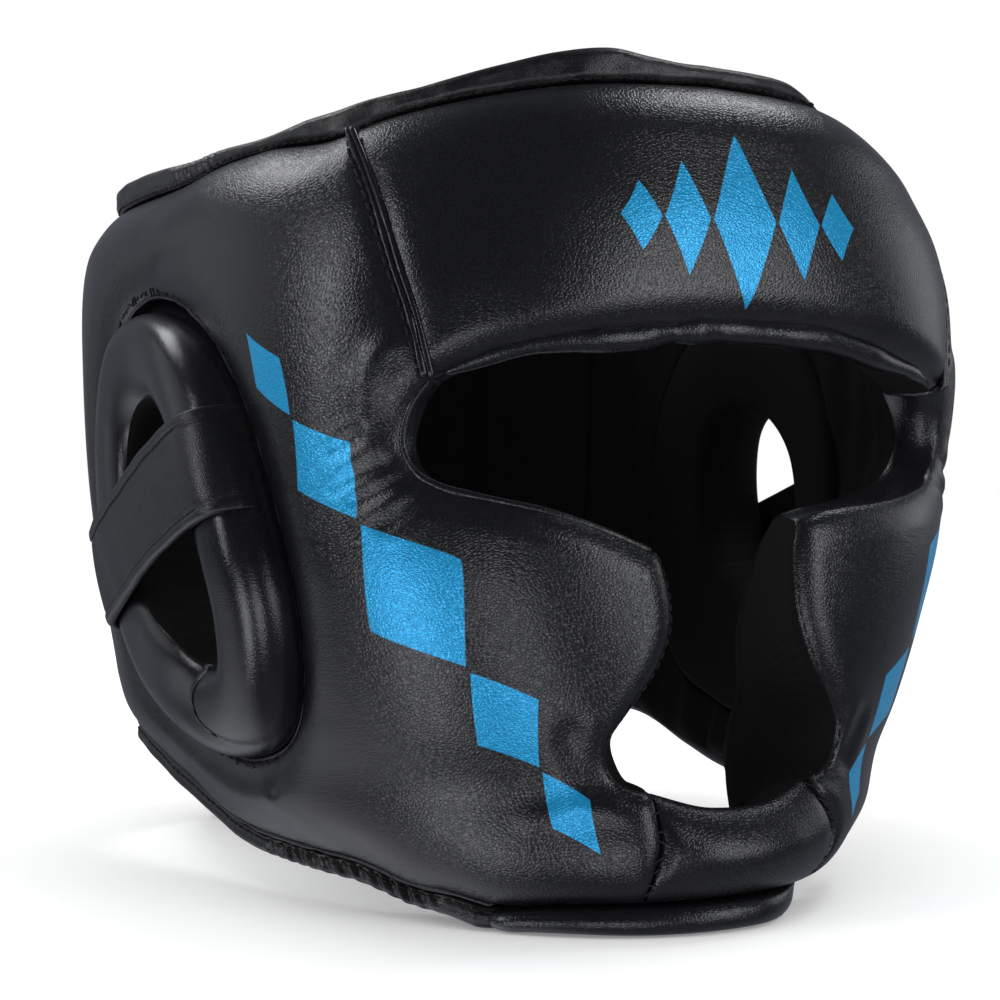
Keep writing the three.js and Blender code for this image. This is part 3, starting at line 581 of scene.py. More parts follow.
sideOutline = [
    ("temple", edgeLine("temple")[::-1]),
    ("eye", edgeLine("eye")),
    ("cheek", edgeLine("cheek")),
    ("chinSeam", edgeLine("chinSeam")),
    ("low", heightLine(10.8, 134, lowHeight)),
    ("seam", edgeLine("rear")),
    ("top", heightLine(132, 48, topHeight)),
]


def sideRays():
    starts, ends, flares, kinds = [], [], [], []
    for k, (kind, line) in enumerate(sideOutline):
        count = 2 * max(round(lineLength(line) / sidePad["raySpacing"] / 2), 2)
        share = np.arange(count) / count
        border = spacedAt(line, share)
        to = border[:, :2]
        pull = ringMiddle - to
        ends.append(to + pull / np.linalg.norm(pull, axis=1, keepdims=True) * sidePad["seamInset"])
        starts.append(holePoint(sidePad["turns"][k] * (1 - share) + sidePad["turns"][k + 1] * share))
        flares.append(border[:, 2:])
        kinds += [kind] * count
    rays = evenRays(np.concatenate(starts), np.concatenate(ends), sidePad["raySteps"], sidePad["passes"])
    return rays, np.concatenate(flares), kinds


def alongRays(rays, places):
    steps = np.linalg.norm(np.diff(rays, axis=1), axis=-1)
    along = np.concatenate([np.zeros((len(rays), 1)), np.cumsum(steps, axis=1)], 1)
    out = np.empty((len(rays), len(places), 2))
    for i in range(len(rays)):
        at = np.asarray(places) * along[i, -1]
        out[i, :, 0] = np.interp(at, along[i], rays[i, :, 0])
        out[i, :, 1] = np.interp(at, along[i], rays[i, :, 1])
    return out


# The lining hangs in soft upright folds: wide and narrow waves that drift with girth and height.
liningWaves = {"depth": 1.1, "wide": 5.3, "narrow": 2.9, "narrowShare": 0.6, "drift": 0.9}


def liningFolds(bearing, height):
    girth = girthOf(foldBearing(bearing)) * np.sign(bearing)
    drift = liningWaves["drift"] * np.sin(girth / 17 + height / 60)
    wide = np.sin(girth / liningWaves["wide"] + drift)
    narrow = np.sin(girth / liningWaves["narrow"] + height / 45)
    return liningWaves["depth"] * (wide + liningWaves["narrowShare"] * narrow)


# One closed loop of points for each ray or column: outside, far wall, lining back, near wall.
def slabLoops(side, spots, outsideDepth, near, liningSpots, liningSink, drop, liningShift, walls):
    bearing = bearingOf(spots[..., 0]) * side
    outside = formPoint(bearing, spots[..., 1], outsideDepth)
    shifted = bearingOf(liningSpots[..., 0] + liningShift) * side
    folds = liningFolds(shifted, liningSpots[..., 1]) * np.clip(1 - liningSink / 1.5, 0, 1)
    depth = wallThickness(shifted, liningSpots[..., 1]) - liningSink + folds
    lining = formPoint(shifted, liningSpots[..., 1], depth, -drop)
    loops = [outside]
    places = [np.stack([spots[..., 0] * side, spots[..., 1]], -1)]
    liningPlaces = np.stack([liningSpots[..., 0] * side, liningSpots[..., 1]], -1)
    for end in (-1, 0):
        away = spots[:, end] - spots[:, -2 if end else 1]
        away /= np.maximum(np.linalg.norm(away, axis=1, keepdims=True), 1e-9)
        count, bulge = walls[end]
        share = np.linspace(0, 1, count + 2)[1:-1][None]
        swell = bulge[:, None] * np.sin(np.pi * share) ** 0.8
        girth = spots[:, end, :1] + liningShift[:, end][:, None] * share + away[:, :1] * swell
        height = spots[:, end, 1:] + away[:, 1:] * swell
        deep = outsideDepth[:, end][:, None] * (1 - share) + depth[:, end][:, None] * share
        wall = formPoint(bearingOf(girth) * side, height, deep, -drop[:, end][:, None] * share)
        wallPlaces = np.stack([girth * side, height], -1)
        if end:
            loops += [wall, lining[:, ::-1]]
            places += [wallPlaces, liningPlaces[:, ::-1]]
        else:
            loops.append(wall[:, ::-1])
            places.append(wallPlaces[:, ::-1])
    sizes = [part.shape[1] for part in loops]
    finishes = [0] * (sizes[0] - 1) + [1] * (sizes[1] + 1) + [2] * (sizes[2] - 1) + [1] * (sizes[3] + 1)
    nearness = np.concatenate([near, np.zeros((len(spots), sum(sizes[1:])))], 1)
    return np.concatenate(loops, 1), finishes, np.concatenate(places, 1), nearness


rays, rayFlares, rayKinds = sideRays()
rayKinds = np.array(rayKinds)
sideBorders = [("ring", holeLine)] + sideOutline
rayBulges = np.array([rounding[kind]["bulge"] for kind in rayKinds])
edgePoints = {}  # points of the panels' borders, for the rolls along them
print("side pad:", len(rays), "rays")


# Folds pressed into the leather, as paths of bearing and height. A rise under 0 is a valley with low lips.
leatherFolds = [
    dict(path=[(-38.1, 147), (-41.4, 143), (-43.1, 132), (-42.6, 125), (-41.5, 120.2)], rise=1.2, width=3.4),
    dict(path=[(-46.6, 110.6), (-43, 114.8), (-39.2, 118.5)], rise=-0.9, width=1.9),
    dict(path=[(-44.8, 107.1), (-41, 111.5), (-37.4, 115.5)], rise=-1.1, width=2.0),
    dict(path=[(-41.5, 101.3), (-39.1, 106.1), (-37, 111)], rise=-0.8, width=1.9),
    dict(path=[(-47, 119.5), (-42.8, 124.9)], rise=-0.6, width=1.8),
    dict(path=[(-67.6, 37.5), (-66.2, 33.5)], rise=-1.2, width=5.0),
    dict(path=[(-21.5, 52), (-19.6, 45), (-17.4, 38.2)], rise=-1.0, width=4.8),
    dict(path=[(-26, 30), (-19, 33.5), (-13, 34)], rise=0.9, width=3.6),
    dict(path=[(38.1, 147), (41.4, 143), (43, 132), (41.8, 120.2)], rise=1.1, width=3.4),
    dict(path=[(46, 111.5), (42.5, 114), (38.9, 118)], rise=-0.9, width=2.0),
    dict(path=[(43.6, 105), (40.5, 110), (37.6, 114)], rise=-1.0, width=1.9),
    dict(path=[(66.4, 38), (65.2, 33.5)], rise=-1.1, width=5.0),
    dict(path=[(20.8, 51), (19.4, 45), (17.8, 39)], rise=-1.1, width=3.4),
    dict(path=[(-6, 22), (-1, 20), (5, 21.5)], rise=0.5, width=4.5),
    dict(path=[(-90, 166), (-84, 171), (-76, 172)], rise=-0.6, width=3.0),
    dict(path=[(88, 165), (83, 170), (77, 173)], rise=-0.6, width=3.0),
]

foldShape = {"lip": 0.4, "lipAway": 1.9, "ending": 1.3}  # the lips beside a valley, and how soon a fold fades


# How far the folds lift the leather, for places of signed girth and height.
def relief(girth, height):
    spots = np.stack(np.broadcast_arrays(girth, height), -1)
    total = np.zeros(spots.shape[:-1])
    for fold in leatherFolds:
        bearing, level = np.array(fold["path"], float).T
        line = smoothLine(np.stack([np.sign(bearing) * girthOf(np.abs(bearing)), level], -1), dense=6)
        away = awayFrom(spots, line) / fold["width"]
        fromMiddle = np.linalg.norm(spots - spacedAt(line, [0.5])[0], axis=-1)
        reach = lineLength(line) / 2 + fold["width"]
        ending = np.clip(foldShape["ending"] - (fromMiddle / reach) ** 2, 0, 1)
        total += fold["rise"] * ending * np.exp(-away ** 2)
        if fold["rise"] < 0:
            total -= foldShape["lip"] * fold["rise"] * ending * np.exp(-(away - foldShape["lipAway"]) ** 2)
    return total


def makeSidePad(name, side, materials, replaced):
    places = crowdedPlaces(sidePad["rows"])
    spots = alongRays(rays, places)
    sink, _, _, near = sinkAt(spots, sideBorders)
    bearing = bearingOf(spots[..., 0]) * side
    coarse = formPoint(bearing, spots[..., 1], sink)[::2, ::2]
    swell = swellSheet(name + "Sheet", coarse, True, panelCloth)
    swell = doubled(doubled(swell, 0, True), 1, False)
    liningPlaces = np.linspace(0, 1, sidePad["liningRows"])
    liningSpots = alongRays(rays, liningPlaces)
    _, liningSink, drop, _ = sinkAt(liningSpots, sideBorders)
    if side > 0:
        liningBearing = bearingOf(liningSpots[..., 0])
        drop = drop + swellingAt([guardForm["mouthDrop"]], liningBearing, liningSpots[..., 1])
    shift = rayFlares[:, 1 if side > 0 else 0][:, None] * liningPlaces[None] ** 3
    walls = {-1: (sidePad["wallRows"], rayBulges), 0: (3, 0 * rayBulges)}
    depth = sink - swell - relief(spots[..., 0] * side, spots[..., 1]) * (1 - near)
    loops, finishes, uv, near = slabLoops(
        side, spots, depth, near, liningSpots, liningSink, drop, shift, walls)
    edgePoints[name] = loops[:, sidePad["rows"]]
    finishes = np.tile(finishes, (len(rays), 1))
    wall = slice(sidePad["rows"], sidePad["rows"] + sidePad["wallRows"] + 1)
    finishes[rayKinds == "eye", wall] = 0  # leather wraps the edge of the eye opening
    mesh = gridMesh(name, loops, True, finishes=finishes, places=uv, near=near)
    turnOutwards(mesh)
    return addPiece(name, mesh, materials, replaced)


# A panel between two mirrored seams, in front or behind.
def makeMiddlePanel(name, panel, materials, replaced):
    behind = panel.get("behind", False)

    def fromMiddle(girth):
        return backGirth - girth if behind else girth

    line = edgeLine(panel["seam"])
    if panel.get("flip"):
        line = line[::-1]
    seamLine = spacedAt(line, crowdedPlaces(panel["rows"]))
    seamLine[:, 0] = fromMiddle(seamLine[:, 0])
    foot, head = seamLine[0], seamLine[-1]

    def heightsAt(heightAt, girth):
        return heightAt(bearingOf(fromMiddle(girth)))

    def border(reach, heightAt):
        girth = np.linspace(0, reach, 40)
        return np.stack([girth, heightsAt(heightAt, girth)], -1)

    borders = [
        (panel["seamKind"], seamLine),
        (panel["lowKind"], border(foot[0], panel["lowAt"])),
        (panel["highKind"], border(head[0], panel["highAt"])),
    ]
    even = np.linspace(-1, 1, panel["columns"] + 1)
    share = 0.65 * even + 0.35 * np.sin(even * np.pi / 2)
    low = heightsAt(panel["lowAt"], foot[0] * np.abs(share))
    high = heightsAt(panel["highAt"], head[0] * np.abs(share))

    def spotsFor(onSeam):
        girth = (onSeam[None, :, 0] - sidePad["seamInset"]) * np.abs(share)[:, None]
        up = (onSeam[None, :, 1] - foot[1]) / (head[1] - foot[1])
        return np.stack([girth, low[:, None] + (high - low)[:, None] * up], -1)

    signs = np.where(share < 0, -1.0, 1.0)[:, None]
    spots = spotsFor(seamLine)
    sink, _, _, near = sinkAt(spots, borders)
    around = np.stack([fromMiddle(spots[..., 0]), spots[..., 1]], -1)
    bearing = bearingOf(around[..., 0]) * signs
    coarse = formPoint(bearing, around[..., 1], sink)[::2, ::2]
    swell = swellSheet(name + "Sheet", coarse, False, panel["cloth"])
    swell = doubled(doubled(swell, 0, False), 1, False)
    liningSeam = spacedAt(seamLine, np.linspace(0, 1, panel["liningRows"]))
    liningSpots = spotsFor(liningSeam)
    _, liningSink, drop, _ = sinkAt(liningSpots, borders)
    liningAround = np.stack([fromMiddle(liningSpots[..., 0]), liningSpots[..., 1]], -1)
    flat = np.ones(len(spots))
    walls = {
        -1: (panel["wallRows"], flat * rounding[panel["highKind"]]["bulge"]),
        0: (panel["wallRows"], flat * rounding[panel["lowKind"]]["bulge"]),
    }
    depth = sink - swell - relief(around[..., 0] * signs, around[..., 1]) * (1 - near)
    shift = np.zeros(liningSpots.shape[:2])
    loops, finishes, uv, near = slabLoops(
        signs, around, depth, near, liningAround, liningSink, drop, shift, walls)
    if behind:
        uv[..., 0] = np.abs(uv[..., 0])  # girths meet at the middle of the back
    edgePoints[name + "Low"], edgePoints[name + "High"] = loops[:, 0], loops[:, panel["rows"]]
    mesh = gridMesh(name, loops, False, finishes=finishes, places=uv, near=near)
    turnOutwards(mesh)
    return addPiece(name, mesh, materials, replaced)


# Shader nodes: a node with its settings and inputs, sums, noise, a blend of colours,
# and a group with named sockets.
def put(tree, kind, inputs=None, **settings):
    node = tree.nodes.new("ShaderNode" + kind)
    for name, value in settings.items():
        setattr(node, name, value)
    for name, value in (inputs or {}).items():
        if isinstance(value, bpy.types.NodeSocket):
            tree.links.new(value, node.inputs[name])
        else:
            node.inputs[name].default_value = value
    return node


def calc(tree, operation, first, second=0.0, clamp=False):
    return put(tree, "Math", {0: first, 1: second}, operation=operation, use_clamp=clamp).outputs[0]


def vectors(tree, operation, first, second):
    socket = "Scale" if operation == "SCALE" else 1
    node = put(tree, "VectorMath", {0: first, socket: second}, operation=operation)
    return node.outputs["Value" if operation == "DOT_PRODUCT" else 0]


def noise(tree, place, scale, detail=2.0, roughness=0.5):
    inputs = {"Vector": place, "Scale": scale, "Detail": detail, "Roughness": roughness}
    return put(tree, "TexNoise", inputs).outputs


def blend(tree, share, first, second):
    return put(tree, "Mix", {0: share, 6: first, 7: second}, data_type="RGBA").outputs[2]


def between(tree, value, low, high, toLow, toHigh, smooth=False):
    kind = "SMOOTHSTEP" if smooth else "LINEAR"
    inputs = {0: value, 1: low, 2: high, 3: toLow, 4: toHigh}
    return put(tree, "MapRange", inputs, interpolation_type=kind).outputs[0]


def newGroup(name, inputs, outputs):
    tree = bpy.data.node_groups.new(name, "ShaderNodeTree")
    for label, kind in inputs.items():
        tree.interface.new_socket(label, in_out="INPUT", socket_type="NodeSocket" + kind)
    for label in outputs:
        tree.interface.new_socket(label, in_out="OUTPUT", socket_type="NodeSocketFloat")
    return tree, tree.nodes.new("NodeGroupInput").outputs, tree.nodes.new("NodeGroupOutput").inputs


def placeGroup(tree, group, inputs):
    return put(tree, "Group", inputs, node_tree=group).outputs


# Pressed grain: flat pebbles with narrow creases, and slow patches of more and less shine.
grainShape = {
    "stretch": (1.0, 1.0, 1.35), "wander": 0.4, "push": 0.9, "crease": 0.3, "pebble": 0.7,
    "finer": 1.7, "fine": 0.18, "patch": 28.0, "patchDull": 1.3, "pebbleDull": 0.3,
}


def makeGrain():
    inputs = {"Place": "Vector", "Cells": "Float"}
    tree, given, made = newGroup("leatherGrain", inputs, ["Height", "Dullness"])
    place, cells = given["Place"], given["Cells"]
    stretched = vectors(tree, "MULTIPLY", place, grainShape["stretch"])
    coarse = calc(tree, "MULTIPLY", cells, grainShape["wander"])
    wander = noise(tree, stretched, coarse, 1.0)["Color"]
    moved = vectors(tree, "SCALE", wander, calc(tree, "DIVIDE", grainShape["push"], cells))
    spot = vectors(tree, "ADD", stretched, moved)
    edge = put(tree, "TexVoronoi", {"Vector": spot, "Scale": cells}, feature="DISTANCE_TO_EDGE")
    pebble = between(tree, edge.outputs["Distance"], 0.0, grainShape["crease"], 0.0, 1.0, True)
    fine = noise(tree, place, calc(tree, "MULTIPLY", cells, grainShape["finer"]))[0]
    low = calc(tree, "MULTIPLY", fine, grainShape["fine"])
    height = calc(tree, "ADD", calc(tree, "MULTIPLY", pebble, grainShape["pebble"]), low)
    tree.links.new(height, made["Height"])
    slow = calc(tree, "MULTIPLY", noise(tree, place, grainShape["patch"], 3.0)[0], grainShape["patchDull"])
    dull = calc(tree, "SUBTRACT", slow, calc(tree, "MULTIPLY", pebble, grainShape["pebbleDull"]))
    tree.links.new(dull, made["Dullness"])
    return tree


# Rubbed patches that gather along seams and edges.
wearPatch = {"scale": 240.0, "detail": 4.0, "rough": 0.65, "low": 0.42, "high": 0.68, "gather": 1.5}


def makeWear():
    inputs = {"Place": "Vector", "Near": "Float", "Amount": "Float"}
    tree, given, made = newGroup("edgeWear", inputs, ["Mask"])
    patch = noise(tree, given["Place"], wearPatch["scale"], wearPatch["detail"], wearPatch["rough"])[0]
    rubbed = between(tree, patch, wearPatch["low"], wearPatch["high"], 0.0, 1.0)
    edge = calc(tree, "POWER", given["Near"], wearPatch["gather"])
    mask = calc(tree, "MULTIPLY", calc(tree, "MULTIPLY", rubbed, edge), given["Amount"], True)
    tree.links.new(mask, made["Mask"])
    return tree


# A plain weave on girth and height: the height of the threads.
weaveShape = {"over": 0.4, "fuzz": 900.0}


def makeWeave():
    tree, given, made = newGroup("clothWeave", {"Place": "Vector", "Threads": "Float"}, ["Height"])
    place = put(tree, "SeparateXYZ", {0: given["Place"]}).outputs
    waves = []
    for axis in (0, 1):
        turn = calc(tree, "MULTIPLY", calc(tree, "MULTIPLY", place[axis], given["Threads"]), math.pi)
        waves.append(calc(tree, "SINE", turn))
    over = calc(tree, "ABSOLUTE", calc(tree, "ADD", waves[0], waves[1]))
    fuzz = noise(tree, given["Place"], weaveShape["fuzz"])[0]
    tree.links.new(calc(tree, "ADD", calc(tree, "MULTIPLY", over, weaveShape["over"]), fuzz), made["Height"])
    return tree


# A row of lozenges that grow towards the middle of the row.
lozengeShape = {"crowd": 1.25, "taper": 0.72, "border": (0.93, 0.96), "last": 0.995}


def makeLozenges():
    inputs = dict.fromkeys(("Along", "Across", "Count", "Reach", "Width"), "Float")
    tree, given, made = newGroup("lozengeRow", inputs, ["Mask"])
    outwards = calc(tree, "DIVIDE", calc(tree, "ABSOLUTE", given["Along"]), given["Reach"])
    half = calc(tree, "DIVIDE", 0.5, given["Count"])
    shortened = calc(tree, "POWER", calc(tree, "MULTIPLY", outwards, 0.5), lozengeShape["crowd"])
    spread = calc(tree, "MULTIPLY", shortened, 2 ** (lozengeShape["crowd"] - 1))
    fromMiddle = calc(tree, "DIVIDE", calc(tree, "PINGPONG", spread, half), half)
    taper = calc(tree, "SUBTRACT", 1.0, calc(tree, "MULTIPLY", outwards, lozengeShape["taper"]), True)
    wide = calc(tree, "MULTIPLY", given["Width"], taper)
    sides = calc(tree, "DIVIDE", calc(tree, "ABSOLUTE", given["Across"]), wide)
    shape = calc(tree, "ADD", fromMiddle, sides)
    inRow = between(tree, outwards, lozengeShape["last"], 1.0, 1.0, 0.0)
    inside = between(tree, shape, *lozengeShape["border"], 1.0, 0.0)
    tree.links.new(calc(tree, "MULTIPLY", inside, inRow), made["Mask"])
    return tree


leatherGrain, edgeWear, clothWeave, lozengeRow = makeGrain(), makeWear(), makeWeave(), makeLozenges()


def newMaterial(name, settings):
    material = bpy.data.materials.new(name)
    material.use_nodes = True
    tree = material.node_tree
    shader = tree.nodes["Principled BSDF"]
    for socket, value in settings.items():
        shader.inputs[socket].default_value = value
    return material, tree, shader


def objectPlace(tree):
    return put(tree, "TexCoord").outputs["Object"]


def panelPlace(tree):
    return put(tree, "UVMap", uv_map="panelPlace").outputs[0]


# Blue lozenges: a slanting row on each cheek and a level row on the forehead,
# in metres of girth and height.
bluePrint = {
    "cheek": dict(middle=(0.0865, 0.0855), slope=(0.60, 0.80), count=5.0, reach=0.08, width=0.0155),
    "forehead": dict(middle=(0.0, 0.1765), slope=(1.0, 0.0), count=5.0, reach=0.036, width=0.0225),
    "colour": (0.006, 0.27, 0.53, 1), "fade": (0.008, 0.2, 0.41, 1), "metal": 0.42,
}


def printMask(tree):
    place = put(tree, "SeparateXYZ", {0: panelPlace(tree)}).outputs
    masks = []
    for name in ("cheek", "forehead"):
        row = bluePrint[name]
        girth = calc(tree, "ABSOLUTE", place[0]) if name == "cheek" else place[0]
        aside = calc(tree, "SUBTRACT", girth, row["middle"][0])
        above = calc(tree, "SUBTRACT", place[1], row["middle"][1])
        (c, s) = row["slope"]
        along = calc(tree, "ADD", calc(tree, "MULTIPLY", aside, c), calc(tree, "MULTIPLY", above, s))
        across = calc(tree, "SUBTRACT", calc(tree, "MULTIPLY", above, c), calc(tree, "MULTIPLY", aside, s))
        masks.append(placeGroup(tree, lozengeRow, {
            "Along": along, "Across": across, "Count": row["count"], "Reach": row["reach"],
            "Width": row["width"]})["Mask"])
    return calc(tree, "MAXIMUM", masks[0], masks[1])


leatherLook = {
    "cloud": 45.0, "paintedShadeOver": (0.25, 1.05), "dullOver": (0.2, 0.9), "fleck": 1500.0,
    "wornColour": 0.5, "wornDull": 0.12, "rippleHeight": 0.002, "grainHeight": 0.0003,
}


def leatherMaterial(name, finish):
    material, tree, shader = newMaterial(name, finish.get("sockets", {}))
    place = objectPlace(tree)
    grain = placeGroup(tree, leatherGrain, {"Place": place, "Cells": finish["cells"]})
    near = put(tree, "Attribute", attribute_name="seamNear").outputs["Fac"]
    worn = placeGroup(tree, edgeWear, {"Place": place, "Near": near, "Amount": finish["wear"]})["Mask"]
    cloud = noise(tree, place, leatherLook["cloud"], 3.0)[0]
    colour = blend(tree, cloud, finish["dark"], finish["light"])
    # Painted shade and highlight: the base colour is darker in the grain's creases and lighter on the pebble
    # tops.
    paintedGrainShade = between(tree, grain["Height"], *leatherLook["paintedShadeOver"], *finish["paintedGrainShade"])
    colour = vectors(tree, "SCALE", colour, paintedGrainShade)
    dull = between(tree, grain["Dullness"], *leatherLook["dullOver"], *finish["rough"])
    if finish.get("print"):
        mask = calc(tree, "MULTIPLY", printMask(tree), calc(tree, "SUBTRACT", 1.0, worn))
        fleck = between(tree, noise(tree, place, leatherLook["fleck"])[0], 0.3, 0.7, 0.0, 1.0)
        colour = blend(tree, mask, colour, blend(tree, fleck, bluePrint["fade"], bluePrint["colour"]))
        tree.links.new(calc(tree, "MULTIPLY", mask, bluePrint["metal"]), shader.inputs["Metallic"])
    colour = blend(tree, calc(tree, "MULTIPLY", worn, leatherLook["wornColour"]), colour, finish["rubbed"])
    tree.links.new(colour, shader.inputs["Base Color"])
    dull = calc(tree, "ADD", dull, calc(tree, "MULTIPLY", worn, leatherLook["wornDull"]))
    tree.links.new(dull, shader.inputs["Roughness"])
    scale, strength = finish["ripple"]
    ripple = noise(tree, place, scale)[0]
    soft = put(tree, "Bump", {
        "Height": ripple, "Strength": strength, "Distance": leatherLook["rippleHeight"]})
    bump = put(tree, "Bump", {
        "Height": grain["Height"], "Strength": finish["bump"], "Distance": leatherLook["grainHeight"],
        "Normal": soft.outputs[0]})
    tree.links.new(bump.outputs[0], shader.inputs["Normal"])
    return material


def clothMaterial(name, finish):
    material, tree, shader = newMaterial(name, finish["sockets"])
    inputs = {"Place": panelPlace(tree), "Threads": finish["threads"]}
    weave = placeGroup(tree, clothWeave, inputs)["Height"]
    cloud = noise(tree, objectPlace(tree), 60.0, 4.0)[0]
    tree.links.new(blend(tree, cloud, finish["dark"], finish["light"]), shader.inputs["Base Color"])
    tree.links.new(between(tree, weave, 0.2, 1.2, 0.78, 0.95), shader.inputs["Roughness"])
    bump = put(tree, "Bump", {"Height": weave, "Strength": finish["bump"], "Distance": 0.0003})
    tree.links.new(bump.outputs[0], shader.inputs["Normal"])
    return material


# Each finish's grain range paints shade into the grain's creases and light onto the pebble tops.
finishes = {
    "panel": dict(cells=980.0, wear=0.3, dark=(0.0048, 0.0052, 0.0068, 1), light=(0.0066, 0.007, 0.009, 1),
                  rubbed=(0.02, 0.02, 0.023, 1), rough=(0.22, 0.28), ripple=(110.0, 0.014), bump=0.22,
                  paintedGrainShade=(0.7, 1.35), print=True),
    "ring": dict(cells=1000.0, wear=0.3, dark=(0.0048, 0.0052, 0.0068, 1), light=(0.006, 0.0064, 0.0082, 1),
                 rubbed=(0.018, 0.018, 0.021, 1), rough=(0.2, 0.26), ripple=(120.0, 0.004), bump=0.12,
                 paintedGrainShade=(0.6, 1.3)),
    "strap": dict(cells=1200.0, wear=0.9, dark=(0.005, 0.0053, 0.0068, 1), light=(0.007, 0.0073, 0.009, 1),
                  rubbed=(0.02, 0.02, 0.023, 1), rough=(0.3, 0.4), ripple=(150.0, 0.06), bump=0.2,
                  paintedGrainShade=(0.6, 1.3)),
    "binding": dict(cells=1400.0, wear=0.9, dark=(0.004, 0.0042, 0.0052, 1), light=(0.006, 0.0062, 0.0074, 1),
                    rubbed=(0.018, 0.018, 0.02, 1), rough=(0.26, 0.4), ripple=(260.0, 0.16), bump=0.2,
                    paintedGrainShade=(0.6, 1.3)),
}
gussetFinish = dict(threads=1500.0, dark=(0.002, 0.0021, 0.0022, 1), light=(0.003, 0.0031, 0.0032, 1),
                    bump=0.25, sockets={"Specular IOR Level": 0.2})
liningFinish = dict(threads=1100.0, dark=(0.0018, 0.0019, 0.0019, 1), light=(0.0028, 0.0029, 0.003, 1),
                    bump=0.4, sockets={"Specular IOR Level": 0.12})
leather = leatherMaterial("panelLeather", finishes["panel"])
ringLeather = leatherMaterial("ringLeather", finishes["ring"])
strapLeather = leatherMaterial("strapLeather", finishes["strap"])
binding = leatherMaterial("bindingLeather", finishes["binding"])
gusset = clothMaterial("gussetCloth", gussetFinish)
lining = clothMaterial("liningCloth", liningFinish)
padMaterials = [leather, gusset, lining]
print("materials done")

sidePads = [
    makeSidePad("sidePadLeft", 1, padMaterials, ["side_pad_left"]),
    makeSidePad("sidePadRight", -1, padMaterials, ["side_pad_right"]),
]

foreheadPad = {
    "seam": "temple", "seamKind": "temple", "lowAt": browHeight, "highAt": topHeight,
    "lowKind": "brow", "highKind": "top", "columns": 140, "rows": 48, "liningRows": 16, "wallRows": 6,
    "cloth": panelCloth, "fill": 0.85,
}
backPad = {
    "seam": "rear", "seamKind": "seam", "lowAt": lowHeight, "highAt": topHeight, "behind": True,
    "lowKind": "low", "highKind": "top", "columns": 100, "rows": 64, "liningRows": 24, "wallRows": 5,
    "cloth": panelCloth, "fill": 0.7,
}
chinBar = {
    "seam": "chinSeam", "flip": True, "seamKind": "chinSeam", "lowAt": lowHeight, "highAt": chinTopHeight,
    "lowKind": "low", "highKind": "chin", "columns": 48, "rows": 28, "liningRows": 12, "wallRows": 5,
    "cloth": panelCloth, "fill": 0.9,
}
middlePads = [
    makeMiddlePanel("foreheadPad", foreheadPad, padMaterials, ["forehead_pad"]),
    makeMiddlePanel("backPad", backPad, padMaterials, ["back_pad"]),
    makeMiddlePanel("chinBar", chinBar, padMaterials, ["chin_bar"]),
]


# The station where the front limb of the ring ends over the rear one, for places across the ring.
def jointArc(point, across, sides):
    stations, offsets = [], []
    for bearing, height in earRing["joint"]:
        gap = np.array([girthOf(bearing), height]) - point[:, :2]
        nearest = int((gap ** 2).sum(1).argmin())
        stations.append(nearest)
        offsets.append(gap[nearest] @ across[nearest])
    return np.polyval(np.polyfit(offsets, stations, 2), sides)


# How far the ring sinks at its joint, for rows of stations and columns of places across.
def jointSink(point, arc):
    count = len(point)
    steps = (np.arange(count)[:, None] - arc[None] + count / 2) % count - count / 2
    past = steps * lineLength(np.concatenate([point, point[:1]])) / count
    end = quarter(-past, earRing["endSink"], earRing["endLength"])
    under = earRing["underSink"] * np.exp(-(past / earRing["underLength"]) ** 2)
    return np.where(past < 0, end, under)


# Section of the ear ring: a half round that stands on two creases, with a plain back.
def makeRing(name, side, materials, replaced):
    point, across = ringStations(earRing["stations"])
    half, root, back = earRing["halfWidth"], earRing["root"], earRing["back"]
    turn = np.linspace(0, np.pi, earRing["roundSteps"] + 1)
    away = np.cos(turn)[None]
    rise, outer, inner = point[:, 2:3], point[:, 3:4], point[:, 4:5]
    plump = np.where(away > 0, earRing["plump"], point[:, 5:6])
    bulge = (1 - np.abs(away) ** plump) ** (1 / plump)
    level = root + (rise - root) * bulge
    arc = jointArc(point, across, half * np.cos(turn))
    level -= jointSink(point, arc) * np.sin(turn)[None] ** 0.7
    rest = [root - 4, earRing["collar"], back + 3, back + 1, back, back]
    rest = np.array(rest + [back, back + 1, back + 3, earRing["collar"], root - 2])
    level = np.concatenate([level, np.broadcast_to(rest, (len(point), len(rest)))], 1)
    plain = np.array([-1, -1, -1, -0.92, -0.77, 0, 0.77, 0.92, 1, 1, 1])[None]
    under = np.where(plain > 0, half, inner) * plain
    sides = np.concatenate([np.where(away > 0, outer, inner) * away, under], 1)
    girth = point[:, :1] + across[:, :1] * sides
    height = point[:, 1:2] + across[:, 1:2] * sides
    rows = formPoint(bearingOf(girth) * side, height, -level)
    uv = np.stack([girth * side, height], -1)
    columns = np.arange(earRing["jointFrom"], earRing["jointTo"])
    joint = rows[np.floor(arc[columns]).astype(int) % len(rows), columns]
    for _ in range(4):
        joint[1:-1] = (joint[:-2] + 2 * joint[1:-1] + joint[2:]) / 4
    edgePoints[name] = joint
    leatherSteps = earRing["roundSteps"] + 1 - earRing["darkSteps"]
    finishes = [0] * leatherSteps + [1] * (earRing["darkSteps"] + len(rest) - 3) + [0] * 3
    near = np.concatenate([np.abs(np.cos(turn)) ** 6, np.zeros(len(rest))])[None]
    mesh = gridMesh(name, rows, True, finishes=finishes, places=uv, near=near)
    turnOutwards(mesh)
    return addPiece(name, mesh, materials, replaced)


rings = [
    makeRing("earRingLeft", 1, [ringLeather, lining], ["ear_ring_left"]),
    makeRing("earRingRight", -1, [ringLeather, lining], ["ear_ring_right"]),
]

